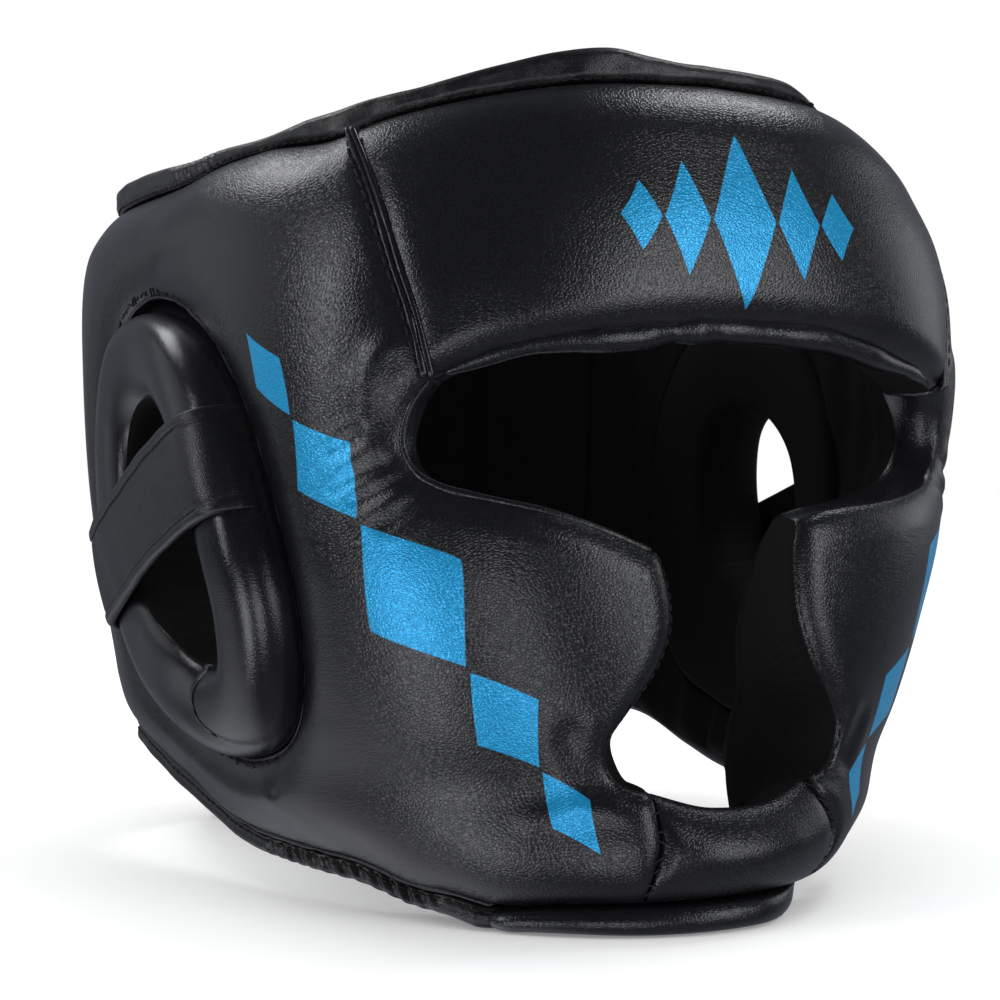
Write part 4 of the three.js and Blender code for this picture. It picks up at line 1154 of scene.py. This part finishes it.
# Ear strap: a flat strap that climbs from the rear of the ring to its front.
earStrap = {
    "width": 28.0, "thickness": 2.4, "clearance": 0.55, "tuck": 13.3, "rear": -60.0, "front": 80.0,
    "dip": 3.5, "dipFrom": 11.2, "dipLength": 2.1,
    "level": 96.5, "climb": 0.39, "steps": 110, "lines": 46,
    "hem": 3.0, "hemRise": 0.45, "groove": 0.5, "edgeRound": 1.0, "stitchEnds": 9,
}


def ringAt(girth, height):
    gap = np.hypot(girth[..., None] - densePoint[:, 0], height[..., None] - densePoint[:, 1])
    nearest = gap.argmin(-1)
    away = gap.min(-1)
    bulge = 1 - np.minimum(away / earRing["halfWidth"], 1) ** earRing["plump"]
    level = earRing["root"] + (densePoint[nearest, 2] - earRing["root"]) * bulge ** (1 / earRing["plump"])
    return away, level


def strapLine(share):
    slant = math.hypot(1, earStrap["climb"])

    def spot(ahead):
        girth = sideGirth - ahead + share * earStrap["width"] * earStrap["climb"] / slant
        height = earStrap["level"] + earStrap["climb"] * ahead + share * earStrap["width"] / slant
        return girth, height

    search = np.arange(earStrap["rear"], earStrap["front"], 0.25)
    away, _ = ringAt(*spot(search))
    close = np.flatnonzero(away <= earStrap["tuck"])
    ahead = np.linspace(search[close[0]], search[close[-1]], earStrap["steps"] + 1)
    girth, height = spot(ahead)
    away, level = ringAt(girth, height)
    tucked = np.clip((away - earStrap["dipFrom"]) / earStrap["dipLength"], 0, 1)
    half = earStrap["steps"] // 2
    tucked[int(away[:half].argmin()):half + int(away[half:].argmin())] = 0
    level = level + earStrap["clearance"]
    rear = int(level[:half + 1].argmax())
    front = half + int(level[half:].argmax())
    bridge = np.interp(np.arange(len(level)), [rear, front], [level[rear], level[front]])
    span = np.arange(rear, front + 1)
    level[span] = np.maximum(level[span], bridge[span])
    return girth, height, level - earStrap["dip"] * tucked ** 2, tucked


def makeStrap(name, side, materials, replaced):
    shares = crowdedPlaces(earStrap["lines"], 0.86) - 0.5
    lines = [strapLine(share) for share in shares]
    girth, height, level, tucked = (np.stack([line[k] for line in lines], 1) for k in range(4))
    inset = (0.5 - np.abs(shares)) * earStrap["width"]
    hem = earStrap["hemRise"] * np.clip((earStrap["hem"] - inset) / 0.5, 0, 1)
    hem -= earStrap["groove"] * np.exp(-((inset - earStrap["hem"]) / 0.5) ** 2)
    turned = quarter(inset, earStrap["thickness"] / 2, earStrap["edgeRound"])
    along = np.arange(len(girth))[:, None]
    uneven = 0.22 * np.sin(along / 4.1 + shares[None] * 5) * np.sin(along / 9.7)
    under = formPoint(bearingOf(girth) * side, height, -level - turned[None] * (1 - tucked))
    thick = (earStrap["thickness"] + hem - turned)[None] * (1 - 0.7 * tucked) + uneven * (1 - tucked)
    over = formPoint(bearingOf(girth) * side, height, -level - np.maximum(thick, 0.3))
    rows = np.concatenate([under, over[:, ::-1]], 1)
    near = np.exp(-inset / 1.5)
    mesh = gridMesh(name, rows, False, near=np.concatenate([near, near[::-1]])[None])
    turnOutwards(mesh)
    return addPiece(name, mesh, materials, replaced)


straps = [
    makeStrap("earStrapLeft", 1, [strapLeather], ["ear_strap_left"]),
    makeStrap("earStrapRight", -1, [strapLeather], ["ear_strap_right"]),
]

# Bound bands along the upper and lower edges. Gathers are stretches of bearing with ribs in the band.
topRim = {
    "outside": 7.2, "inside": 16.5, "round": 2.4, "gap": 0.6, "count": 1100, "wave": 0.25, "crease": 1.0,
    "bearing": [-180, -130, -99, -83, -71, -64, -58, -51, -45, -40, -30, -22, -14, -8, -2,
                8, 14, 18, 22, 28, 60, 80, 110, 180],
    "tall": [6.6, 7.5, 7.2, 5.4, 3.8, 4.2, 6.4, 7.6, 6.4, 5.8, 7, 8.3, 8.7, 6.8, 5.4,
             5.2, 5, 3.6, 1.7, 3.1, 3.1, 2.8, 6, 6.6],
    "drawnIn": dict(bearing=[-180, -150, -115, -88, -62, 180], depth=[0, -2.2, -3.2, -2.2, 0, 0]),
    "sunk": dict(bearing=[-180, 15, 20, 27, 60, 80, 100, 180], depth=[0, 0, 1.2, 3.4, 3.4, 1.4, 0, 0]),
    "gathers": [dict(first=-94, last=-77, pitch=3.6, rise=0.55, slant=0.4),
                dict(first=96, last=112, pitch=5.0, rise=0.7, slant=0.3),
                dict(first=-166, last=-150, pitch=5.4, rise=0.7, slant=0.3)],
}
bottomRim = {
    "outside": 3.2, "inside": 13.0, "round": 1.8, "gap": 0.6, "tall": 5.1, "first": 27.0, "count": 900,
    "wave": 0.2, "crease": -1.4,
    "gathers": [dict(first=-75, last=-37, pitch=6.6, rise=0.6, slant=1.0),
                dict(first=36, last=70, pitch=6.6, rise=0.5, slant=1.0),
                dict(first=150, last=172, pitch=4.2, rise=0.4, slant=0.5)],
    "drawnIn": dict(bearing=[-180, -39, -33, -30, -27, 27, 32, 50, 75, 100, 180],
                    depth=[0, 0, -0.6, 1, 3.5, 7, 7, 5, 2, 0, 0]),
    # the near end hangs lower
    "end": dict(bearing=[-180, -40, -33, -27, 27, 180], extra=[0, 0, 0.9, 0, 0, 0]),
}


# Sections of a bar with rounded corners, one for each row of low and high, as depth and level.
def barSections(rim, low, high):
    roundness = np.minimum(rim["round"], 0.42 * (high - low))
    parts = []
    corners = ((True, False, 270), (True, True, 180), (False, True, 90), (False, False, 0))
    for outer, upper, start in corners:
        angle = np.radians(np.linspace(start, start - 90, 6))[None]
        depth = (rim["outside"] + roundness if outer else rim["inside"] - roundness)[:, None]
        level = (high - roundness if upper else low + roundness)[:, None]
        across = depth + roundness[:, None] * np.cos(angle)
        parts.append(np.stack([across, level + roundness[:, None] * np.sin(angle)], -1))
    share = np.linspace(0, 1, 9)[1:-1][None, :, None]
    face = parts[0][:, -1:] * (1 - share) + parts[1][:, :1] * share
    return np.concatenate([parts[0], face] + parts[1:], 1)


def makeRim(name, rim, bearings, edge, low, high, closed, materials, replaced):
    sections = barSections(rim, low, high)
    signed = (bearings + 180) % 360 - 180
    girth = girthOf(foldBearing(bearings)) * np.sign(signed)
    depth, level = sections[..., 0], sections[..., 1]
    outer = np.clip((rim["outside"] + 3 - depth) / 3, 0, 1)
    uneven = np.sin(girth / 3.1 + 2)[:, None] * np.sin(level / 2)
    rise = rim["wave"] * (np.sin(girth / 7.3)[:, None] + uneven)
    for gather in rim["gathers"]:
        window = np.clip(np.minimum(signed - gather["first"], gather["last"] - signed) / 3, 0, 1)[:, None]
        phase = 2 * np.pi * (girth[:, None] + gather["slant"] * level) / gather["pitch"]
        window = window * (1 + 0.5 * np.sin(girth / 5.7)[:, None] * np.sin(girth / 2.3 + 1)[:, None])
        rise = rise + gather["rise"] * window * (np.sin(phase + 1.4 * np.sin(girth / 8)[:, None]) - 0.3)
    crease = high[:, None] + rim["crease"] if rim["crease"] < 0 else low[:, None] + rim["crease"]
    rise = rise - 0.5 * np.exp(-((level - crease) / 0.45) ** 2)
    if "drawnIn" in rim:
        depth = depth + np.interp(signed, rim["drawnIn"]["bearing"], rim["drawnIn"]["depth"])[:, None]
    rows = formPoint(bearings[:, None] + 0 * depth, edge[:, None] + 0 * depth, depth - rise * outer, level)
    mesh = gridMesh(name, rows, closed, near=0.8 * outer)
    turnOutwards(mesh)
    return addPiece(name, mesh, materials, replaced)


topBearings = np.linspace(-180, 180, topRim["count"] + 1)[:-1]
topLow = topRim["gap"] - np.interp(topBearings, topRim["sunk"]["bearing"], topRim["sunk"]["depth"])
topHigh = topLow + curveThrough(topRim["bearing"], topRim["tall"])(topBearings)
lowBearings = np.linspace(bottomRim["first"], 360 - bottomRim["first"], bottomRim["count"] + 1)
lowHigh = -bottomRim["gap"] + 0 * lowBearings
lowSigned = (lowBearings + 180) % 360 - 180
lowTall = bottomRim["tall"] + np.interp(lowSigned, bottomRim["end"]["bearing"], bottomRim["end"]["extra"])
rims = [
    makeRim("topRim", topRim, topBearings, topHeight(topBearings), topLow, topHigh,
            True, [binding], ["top_rim"]),
    makeRim("bottomRim", bottomRim, lowBearings, lowHeight(lowBearings), lowHigh - lowTall, lowHigh,
            False, [binding], ["bottom_rim"]),
]

# Chin cup: a flat-footed crescent under the lower edge.
chinCup = {
    "outside": 1.0, "inside": 23.0, "footOutside": 3.6, "count": 90,
    "bearing": [0, 9, 14, 20, 26.2], "foot": [0, 0, 0.7, 2.5, 5.4], "nearFoot": 0.2, "fill": 0.6,
    "drawnFrom": 2.0, "drawnOver": 18.0, "drawnIn": 13.0,
    "nearEnd": -32.0, "nearRound": 4.5,  # the near end laps over the rim
}


def cutCorners(section, times):
    for _ in range(times):
        after = np.roll(section, -1, axis=0)
        section = np.stack([0.75 * section + 0.25 * after, 0.25 * section + 0.75 * after], 1).reshape(-1, 2)
    return section


def makeChinCup(name, materials, replaced):
    rows = []
    footAt = curveThrough(chinCup["bearing"], chinCup["foot"])
    for bearing in np.linspace(chinCup["nearEnd"], chinCup["bearing"][-1], chinCup["count"] + 1):
        share = max(bearing / chinCup["bearing"][-1], -1)
        edge = float(lowHeight(bearing))
        foot = float(footAt(abs(bearing))) * (1.0 if share > 0 else chinCup["nearFoot"]) - edge
        deep = math.sqrt(1 - 0.6 * share ** 6)
        drawn = min(max((bearing - chinCup["drawnFrom"]) / chinCup["drawnOver"], 0), 1)
        drawn = chinCup["drawnIn"] * drawn * drawn * (3 - 2 * drawn)
        inner = max(deep * chinCup["inside"], drawn + 9)
        section = cutCorners(np.array([
            [chinCup["footOutside"] + drawn, foot],
            [chinCup["outside"] + drawn + 0.4, foot * 0.72],
            [chinCup["outside"] + drawn, foot * 0.36],
            [chinCup["outside"] + drawn * 0.6 + 2.2, -0.6],
            [inner - 3, -0.6],
            [inner, foot * 0.45],
            [inner - 2.5, foot],
        ]), 2)
        past = max(1 - (bearing - chinCup["nearEnd"]) / chinCup["nearRound"], 0)
        middle = section.mean(0)
        section = middle + (section - middle) * math.sqrt(1 - 0.9 * past ** 2)
        flat = 0 * section[:, 0]
        rows.append(formPoint(bearing + flat, edge + flat, section[:, 0], section[:, 1]))
    mesh = gridMesh(name, np.stack(rows), False)
    turnOutwards(mesh)
    return addPiece(name, mesh, materials, replaced)


cup = makeChinCup("chinCup", [leather], ["chin_cup"])
print("pieces done")

rng = np.random.default_rng(11)


# A thin roll along a line of points, with an uneven thickness.
def makeRoll(name, line, roll):
    steps = np.concatenate([[0], np.cumsum(np.linalg.norm(np.diff(line, axis=0), axis=1))])
    count = max(int(steps[-1] / (mm * roll["spacing"])), 8)
    at = np.linspace(0, steps[-1], count)
    middle = np.stack([np.interp(at, steps, line[:, k]) for k in range(3)], -1)
    tangent = np.gradient(middle, axis=0)
    tangent /= np.linalg.norm(tangent, axis=1, keepdims=True)
    outwards = middle * [1, 1, 0] / np.linalg.norm(middle[:, :2], axis=1, keepdims=True)
    aside = np.cross(tangent, outwards)
    aside /= np.linalg.norm(aside, axis=1, keepdims=True)
    outwards = np.cross(aside, tangent)
    knots = np.arange(0, count + 5, 5)
    wobble = np.interp(np.arange(count), knots, rng.normal(0, 1, count // 5 + 2)[:len(knots)])
    thick = roll["radius"] * mm * (1 + roll["uneven"] * wobble)
    knots = np.arange(0, count + 9, 9)
    sway = roll.get("sway", 0) * mm * np.interp(np.arange(count), knots, rng.normal(0, 1, len(knots)))
    grown = np.clip(np.minimum(at, steps[-1] - at) / (roll.get("taper", 0.8) * mm), 0, 1) ** 0.5
    thick *= 0.2 + 0.8 * grown
    angle = np.linspace(0, 2 * np.pi, roll["sides"], endpoint=False)
    ring = np.cos(angle)[None, :, None] * outwards[:, None] + np.sin(angle)[None, :, None] * aside[:, None]
    middle = middle + outwards * (roll.get("out", 0) * mm * grown)[:, None] + aside * sway[:, None]
    middle[:, 2] += roll.get("up", 0) * mm * grown
    mesh = gridMesh(name, middle[:, None] + thick[:, None, None] * ring, False, near=0.5)
    turnOutwards(mesh)
    return addPiece(name, mesh, [roll.get("finish", binding)])


browRoll = dict(radius=3.4, uneven=0.11, spacing=1.3, sides=22, sway=0.6, out=-0.5, up=-1.2, taper=44.0,
                finish=leather)
edgeRoll = dict(radius=0.95, uneven=0.08, spacing=1.2, sides=12, sway=0.08, out=-0.1, finish=leather)
thinRoll = dict(radius=0.62, uneven=0.2, spacing=0.9, sides=8, sway=0.1, out=0.25)
weltRoll = dict(radius=0.95, uneven=0.12, spacing=0.9, sides=8, sway=0.05, finish=ringLeather)
jointRoll = dict(radius=0.7, uneven=0.15, spacing=0.8, sides=8, sway=0.06, out=0.45, finish=ringLeather)
seamWelt = {"apart": 0.9, "depth": 0.95}  # the two lips of the temple seam
browEnds = 4  # columns of the forehead that stay free at each end of its roll
lowStart = 28  # rays of the low edge that the chin cup covers
ringSeamDepth = 5.6
makeRoll("browRoll", edgePoints["foreheadPadLow"][browEnds:-browEnds], browRoll)
for side, word in ((1, "Left"), (-1, "Right")):
    border = edgePoints["sidePad" + word]
    if side < 0:
        makeRoll("eyeRoll" + word, border[rayKinds == "eye"], edgeRoll)
    makeRoll("lowRoll" + word, border[rayKinds == "low"][lowStart:], thinRoll)
    temple = edgeLine("temple")
    for lip in (-1, 1):
        bearing = bearingOf(temple[:, 0] + lip * seamWelt["apart"]) * side
        lipName = "templeLip" + word + ("Front" if lip < 0 else "Rear")
        makeRoll(lipName, formPoint(bearing, temple[:, 1], seamWelt["depth"]), weltRoll)
    ringSeam = formPoint(bearingOf(holeLine[:, 0]) * side, holeLine[:, 1], ringSeamDepth)
    makeRoll("ringRoll" + word, np.concatenate([ringSeam, ringSeam[:3]]), thinRoll)
    makeRoll("jointRoll" + word, edgePoints["earRing" + word], jointRoll)
print("rolls done")


# The outside of the guard as one tree, so that threads can be laid on it.
def outsideTree(pieces):
    corners, faces = [], []
    for piece in pieces:
        base = len(corners)
        corners += [corner.co.copy() for corner in piece.data.vertices]
        faces += [[base + k for k in face.vertices] for face in piece.data.polygons]
    return BVHTree.FromPolygons(corners, faces)


skin = outsideTree(sidePads + middlePads + rings + straps + rims + [cup])


def onSkin(spots):
    bearing = bearingOf(np.abs(spots[:, 0])) * np.sign(spots[:, 0])
    start = formPoint(bearing, spots[:, 1], -30.0)
    aim = formPoint(bearing, spots[:, 1], 15.0) - start
    found = []
    for origin, way in zip(start, aim):
        place, normal, _, _ = skin.ray_cast(Vector(origin), Vector(way).normalized(), 0.05)
        if place is None:
            return None, None
        found.append((np.array(place), np.array(normal)))
    return np.array([f[0] for f in found]), np.array([f[1] for f in found])


# Rows of stitches: each is a short thread that dips into the leather at both ends.
def makeStitches(name, lines, row):
    radius = row["radius"] * mm
    arch = np.array([-1.2, 0.35, 0.75, 0.35, -1.2])
    places = np.array([-1.0, -0.72, 0.0, 0.72, 1.0])
    angle = np.linspace(0, 2 * np.pi, 6, endpoint=False)
    points = []
    for line in lines:
        length = lineLength(line)
        for k in range(int(length / row["pitch"])):
            at = (k + 0.5 + rng.uniform(-row["stray"], row["stray"])) * row["pitch"]
            spots = [max(at - 0.5, 0) / length, at / length, min(at + 0.5, length) / length]
            middle = spacedAt(line, spots)[:, :2]
            way = middle[2] - middle[0]
            way /= max(np.linalg.norm(way), 1e-9)
            if row.get("across"):
                way = np.array([-way[1], way[0]])
            tilt = rng.normal(0, row["tilt"])
            way = np.array([way[0] - way[1] * tilt, way[1] + way[0] * tilt])
            half = row["stitch"] / 2 * rng.uniform(0.85, 1.15)
            place, normal = onSkin(middle[1][None] + places[[0, 1, 3, 4], None] * half * way[None])
            if place is None or np.linalg.norm(np.diff(place, axis=0), axis=1).max() > 5 * mm:
                continue
            place = np.insert(place, 2, place[1:3].mean(0), axis=0)  # the middle spans the seam
            normal = np.insert(normal, 2, normal[1:3].mean(0), axis=0)
            path = place + normal * (arch * radius)[:, None]
            tangent = np.gradient(path, axis=0)
            tangent /= np.linalg.norm(tangent, axis=1, keepdims=True)
            aside = np.cross(tangent, normal)
            aside /= np.linalg.norm(aside, axis=1, keepdims=True)
            up = np.cross(aside, tangent)
            ring = np.cos(angle)[None, :, None] * up[:, None]
            ring = ring + np.sin(angle)[None, :, None] * aside[:, None]
            points.append(path[:, None] + radius * ring)
    points = np.array(points)
    count, rows, sides = points.shape[:3]
    index = np.arange(count * rows * sides).reshape(count, rows, sides)
    beside = np.roll(index, -1, axis=2)
    quads = np.stack([index[:, :-1], beside[:, :-1], beside[:, 1:], index[:, 1:]], -1).reshape(-1, 4)
    mesh = bpy.data.meshes.new(name)
    caps = index[:, 0, ::-1].tolist() + index[:, -1].tolist()
    mesh.from_pydata(points.reshape(-1, 3).tolist(), [], quads.tolist() + caps)
    layer = mesh.uv_layers.new(name="threadPlace")
    spread = np.stack(np.meshgrid(places, angle / (2 * np.pi), indexing="ij"), -1)
    spread = np.broadcast_to(spread, points.shape[:3] + (2,))
    corners = np.empty(len(mesh.loops), np.int32)
    mesh.loops.foreach_get("vertex_index", corners)
    layer.data.foreach_set("uv", spread.reshape(-1, 2)[corners].astype(np.float32).reshape(-1))
    mesh.polygons.foreach_set("use_smooth", [True] * len(mesh.polygons))
    mesh.update()
    turnOutwards(mesh)
    print(name, count, "stitches")
    return addPiece(name, mesh, [thread])


threadFinish = {
    "dark": (0.004, 0.004, 0.0045, 1), "light": (0.012, 0.012, 0.013, 1), "fuzz": 2500.0, "twists": 4.0,
    "rough": (0.5, 0.75), "bump": 0.5,
}


def threadMaterial():
    material, tree, shader = newMaterial("sewingThread", {"Specular IOR Level": 0.3})
    place = put(tree, "SeparateXYZ", {0: put(tree, "UVMap", uv_map="threadPlace").outputs[0]}).outputs
    turns = calc(tree, "ADD", calc(tree, "MULTIPLY", place[0], threadFinish["twists"]), place[1])
    twist = calc(tree, "SINE", calc(tree, "MULTIPLY", turns, 2 * math.pi))
    fuzz = noise(tree, objectPlace(tree), threadFinish["fuzz"])[0]
    colour = blend(tree, fuzz, threadFinish["dark"], threadFinish["light"])
    tree.links.new(colour, shader.inputs["Base Color"])
    tree.links.new(between(tree, fuzz, 0.3, 0.7, *threadFinish["rough"]), shader.inputs["Roughness"])
    bump = put(tree, "Bump", {"Height": twist, "Strength": threadFinish["bump"], "Distance": 0.0002})
    tree.links.new(bump.outputs[0], shader.inputs["Normal"])
    return material


thread = threadMaterial()


# A border line moved into its panel by a distance.
def insetLine(line, distance, inside):
    flat = line[:, :2]
    tangent = np.gradient(flat, axis=0)
    across = np.stack([-tangent[:, 1], tangent[:, 0]], -1)
    across /= np.maximum(np.linalg.norm(across, axis=1, keepdims=True), 1e-9)
    across *= np.sign(((np.asarray(inside) - flat) * across).sum())
    return flat + across * distance


def bothSides(lines):
    return [line[:, :2] * [side, 1] for line in lines for side in (1, -1)]


stitchRows = {
    "seam": dict(pitch=3.5, stitch=2.3, radius=0.36, stray=0.08, tilt=0.05),
    "edge": dict(pitch=3.2, stitch=2.0, radius=0.25, stray=0.1, tilt=0.08),
    "whip": dict(pitch=3.3, stitch=2.6, radius=0.27, stray=0.25, tilt=0.4, across=True),
    "strap": dict(pitch=2.6, stitch=1.8, radius=0.27, stray=0.05, tilt=0.03),
    "rim": dict(pitch=3.4, stitch=2.4, radius=0.32, stray=0.12, tilt=0.06),
    "ragged": dict(pitch=2.4, stitch=2.6, radius=0.24, stray=0.4, tilt=0.45),
}
# Stitches along the seams, moved into the side pad by an inset.
seamStitches = {
    "temple": dict(edge="temple", inset=2.3, row="seam"),
    "cheek": dict(edge="cheek", inset=0.9, row="edge"),
    "chin": dict(edge="chinSeam", inset=0.0, row="whip"),
    "rear": dict(edge="rear", inset=2.6, row="seam"),
}
for name, seam in seamStitches.items():
    line = insetLine(edgeLine(seam["edge"]), seam["inset"], ringMiddle)
    makeStitches(name + "Stitches", bothSides([line]), stitchRows[seam["row"]])
raggedSeam = {"spread": 1.02, "above": 138, "below": 46}  # rough threads over and under the ear ring
ringSeamLine = ringMiddle + (holeLine - ringMiddle) * raggedSeam["spread"]
topSeam = ringSeamLine[:-1][ringSeamLine[:-1, 1] > raggedSeam["above"]]
topSeam = topSeam[np.argsort(topSeam[:, 0])]
footSeam = ringSeamLine[ringSeamLine[:, 1] < raggedSeam["below"]]
makeStitches("ringStitches", bothSides([topSeam, footSeam]), stitchRows["ragged"])
strapLines = []
for edge in (-1, 1):
    girth, height = strapLine(edge * (0.5 - earStrap["hem"] / earStrap["width"]))[:2]
    strapLines.append(np.stack([girth, height], -1)[earStrap["stitchEnds"]:-earStrap["stitchEnds"]])
makeStitches("strapStitches", bothSides(strapLines), stitchRows["strap"])
around = np.linspace(0, 180, 240)
topStitchLine = np.stack([girthOf(around), topHeight(around) + topRim["gap"] + topRim["crease"]], -1)
lowAround = np.linspace(29, 180, 240)
lowCrease = lowHeight(lowAround) - bottomRim["gap"] + bottomRim["crease"]
lowStitchLine = np.stack([girthOf(lowAround), lowCrease], -1)
makeStitches("topRimStitches", bothSides([topStitchLine]), stitchRows["rim"])
makeStitches("bottomRimStitches", bothSides([lowStitchLine]), stitchRows["rim"])
print("stitches done")

# Pale ground. The leather mirrors the soft spots of the studio below instead of it.
studio = {"reach": 4.0, "turns": 72, "pale": (0.9, 0.9, 0.9, 1), "speck": (0.92, 0.92, 0.92, 1)}


def groundMaterial():
    material, tree, shader = newMaterial("paleGround", {
        "Roughness": 0.9, "Specular IOR Level": 0.1,
        "Emission Color": (1, 1, 1, 1), "Emission Strength": 0.16})
    speck = noise(tree, objectPlace(tree), 300.0)[0]
    tree.links.new(blend(tree, speck, studio["pale"], studio["speck"]), shader.inputs["Base Color"])
    return material


def makeFloor():
    turns = np.linspace(0, 2 * np.pi, studio["turns"], endpoint=False)
    rim = studio["reach"] * np.stack([np.cos(turns), np.sin(turns), 0 * turns], -1)
    mesh = bpy.data.meshes.new("studioFloor")
    mesh.from_pydata(rim.tolist(), [], [list(range(len(turns)))])
    mesh.materials.append(groundMaterial())
    floor = bpy.data.objects.new("studioFloor", mesh)
    bpy.context.scene.collection.objects.link(floor)
    floor.visible_glossy = False


makeFloor()

# Soft lamps: bearing and lift as seen from the guard, distance, size,
# and brightness as the leather mirrors it.
lamps = {
    "backTopBox": dict(bearing=-150, lift=47, away=1.8, size=(0.8, 0.6), bright=4.7),
    "leftStrip": dict(bearing=-91, lift=14, away=1.6, size=(0.24, 1.2), bright=7.0),
    "leftPanel": dict(bearing=-132, lift=12, away=1.7, size=(1.2, 1.0), bright=0.42),
    "rightTopBox": dict(bearing=86, lift=57, away=1.8, size=(0.6, 0.5), bright=7.0),
    "rightPanel": dict(bearing=84, lift=12, away=1.6, size=(0.8, 0.8), bright=1.1),
    "frontBox": dict(bearing=27, lift=11, away=1.6, size=(0.42, 0.8), bright=4.8),
}


def wayTo(bearing, lift):
    turn, rise = math.radians(bearing), math.radians(lift)
    return Vector((math.sin(turn) * math.cos(rise), -math.cos(turn) * math.cos(rise), math.sin(rise)))


def addLamp(name, lamp):
    data = bpy.data.lights.new(name, "AREA")
    data.shape = "RECTANGLE"
    data.size, data.size_y = lamp["size"]
    data.energy = lamp["bright"] * math.pi * lamp["size"][0] * lamp["size"][1]
    data.color = (0.97, 0.985, 1.0)
    away = wayTo(lamp["bearing"], lamp["lift"])
    holder = bpy.data.objects.new(name, data)
    holder.location = Vector((0, 0, 0.1)) + lamp["away"] * away
    holder.rotation_euler = away.to_track_quat("Z", "Y").to_euler()
    bpy.context.scene.collection.objects.link(holder)


for name, lamp in lamps.items():
    addLamp(name, lamp)


# Soft bright places low round the studio that the leather mirrors, full within one angle
# and gone beyond another.
lowSpots = {
    "left": dict(bearing=-71, lift=-31, full=4, gone=18, bright=4.0),
    "front": dict(bearing=-25, lift=-27, full=3, gone=17, bright=3.4),
    "right": dict(bearing=22, lift=-12, full=6, gone=17, bright=2.4),
    "rear": dict(bearing=-138, lift=-50, full=3, gone=40, bright=0.85),
    "below": dict(bearing=0, lift=-90, full=20, gone=75, bright=0.16),
}


# White light from all round, while what the leather mirrors is dark ahead and grey behind.
surround = {
    "behind": (0.49, 0.87, 0.0), "dark": (0.029, 0.03, 0.036, 1), "grey": (0.172, 0.184, 0.216, 1),
    "spotTint": (0.97, 0.985, 1.06),
}


def makeWorld():
    world = bpy.data.worlds.new("studioWorld")
    world.use_nodes = True
    tree = world.node_tree
    facing = put(tree, "TexCoord").outputs["Generated"]
    behind = vectors(tree, "DOT_PRODUCT", facing, surround["behind"])
    share = between(tree, behind, -0.3, 0.8, 0.0, 1.0, True)
    mirrored = blend(tree, share, surround["dark"], surround["grey"])
    for spot in lowSpots.values():
        near = vectors(tree, "DOT_PRODUCT", facing, wayTo(spot["bearing"], spot["lift"]))
        edge, core = math.cos(math.radians(spot["gone"])), math.cos(math.radians(spot["full"]))
        glow = between(tree, near, edge, core, 0.0, spot["bright"], True)
        mirrored = vectors(tree, "ADD", mirrored, vectors(tree, "SCALE", surround["spotTint"], glow))
    paths = put(tree, "LightPath").outputs
    seen = blend(tree, paths["Is Glossy Ray"], (0.95, 0.95, 0.95, 1), mirrored)
    seen = blend(tree, paths["Is Camera Ray"], seen, (1, 1, 1, 1))
    tree.links.new(seen, tree.nodes["Background"].inputs["Color"])
    bpy.context.scene.world = world


makeWorld()
print("studio done")

# The photograph's view.
viewer = {"place": (-0.307, -0.54395, 0.1215), "heading": 29.48, "dip": 1.52, "lens": 75.49}
cameraData = bpy.data.cameras.new("viewer")
cameraData.lens = viewer["lens"]
cameraData.sensor_width = 36
cameraData.clip_start = 0.02
camera = bpy.data.objects.new("viewer", cameraData)
camera.location = viewer["place"]
camera.rotation_euler = (math.radians(90 - viewer["dip"]), 0, -math.radians(viewer["heading"]))
bpy.context.scene.collection.objects.link(camera)
bpy.context.scene.camera = camera
bpy.context.scene.view_settings.view_transform = "Standard"
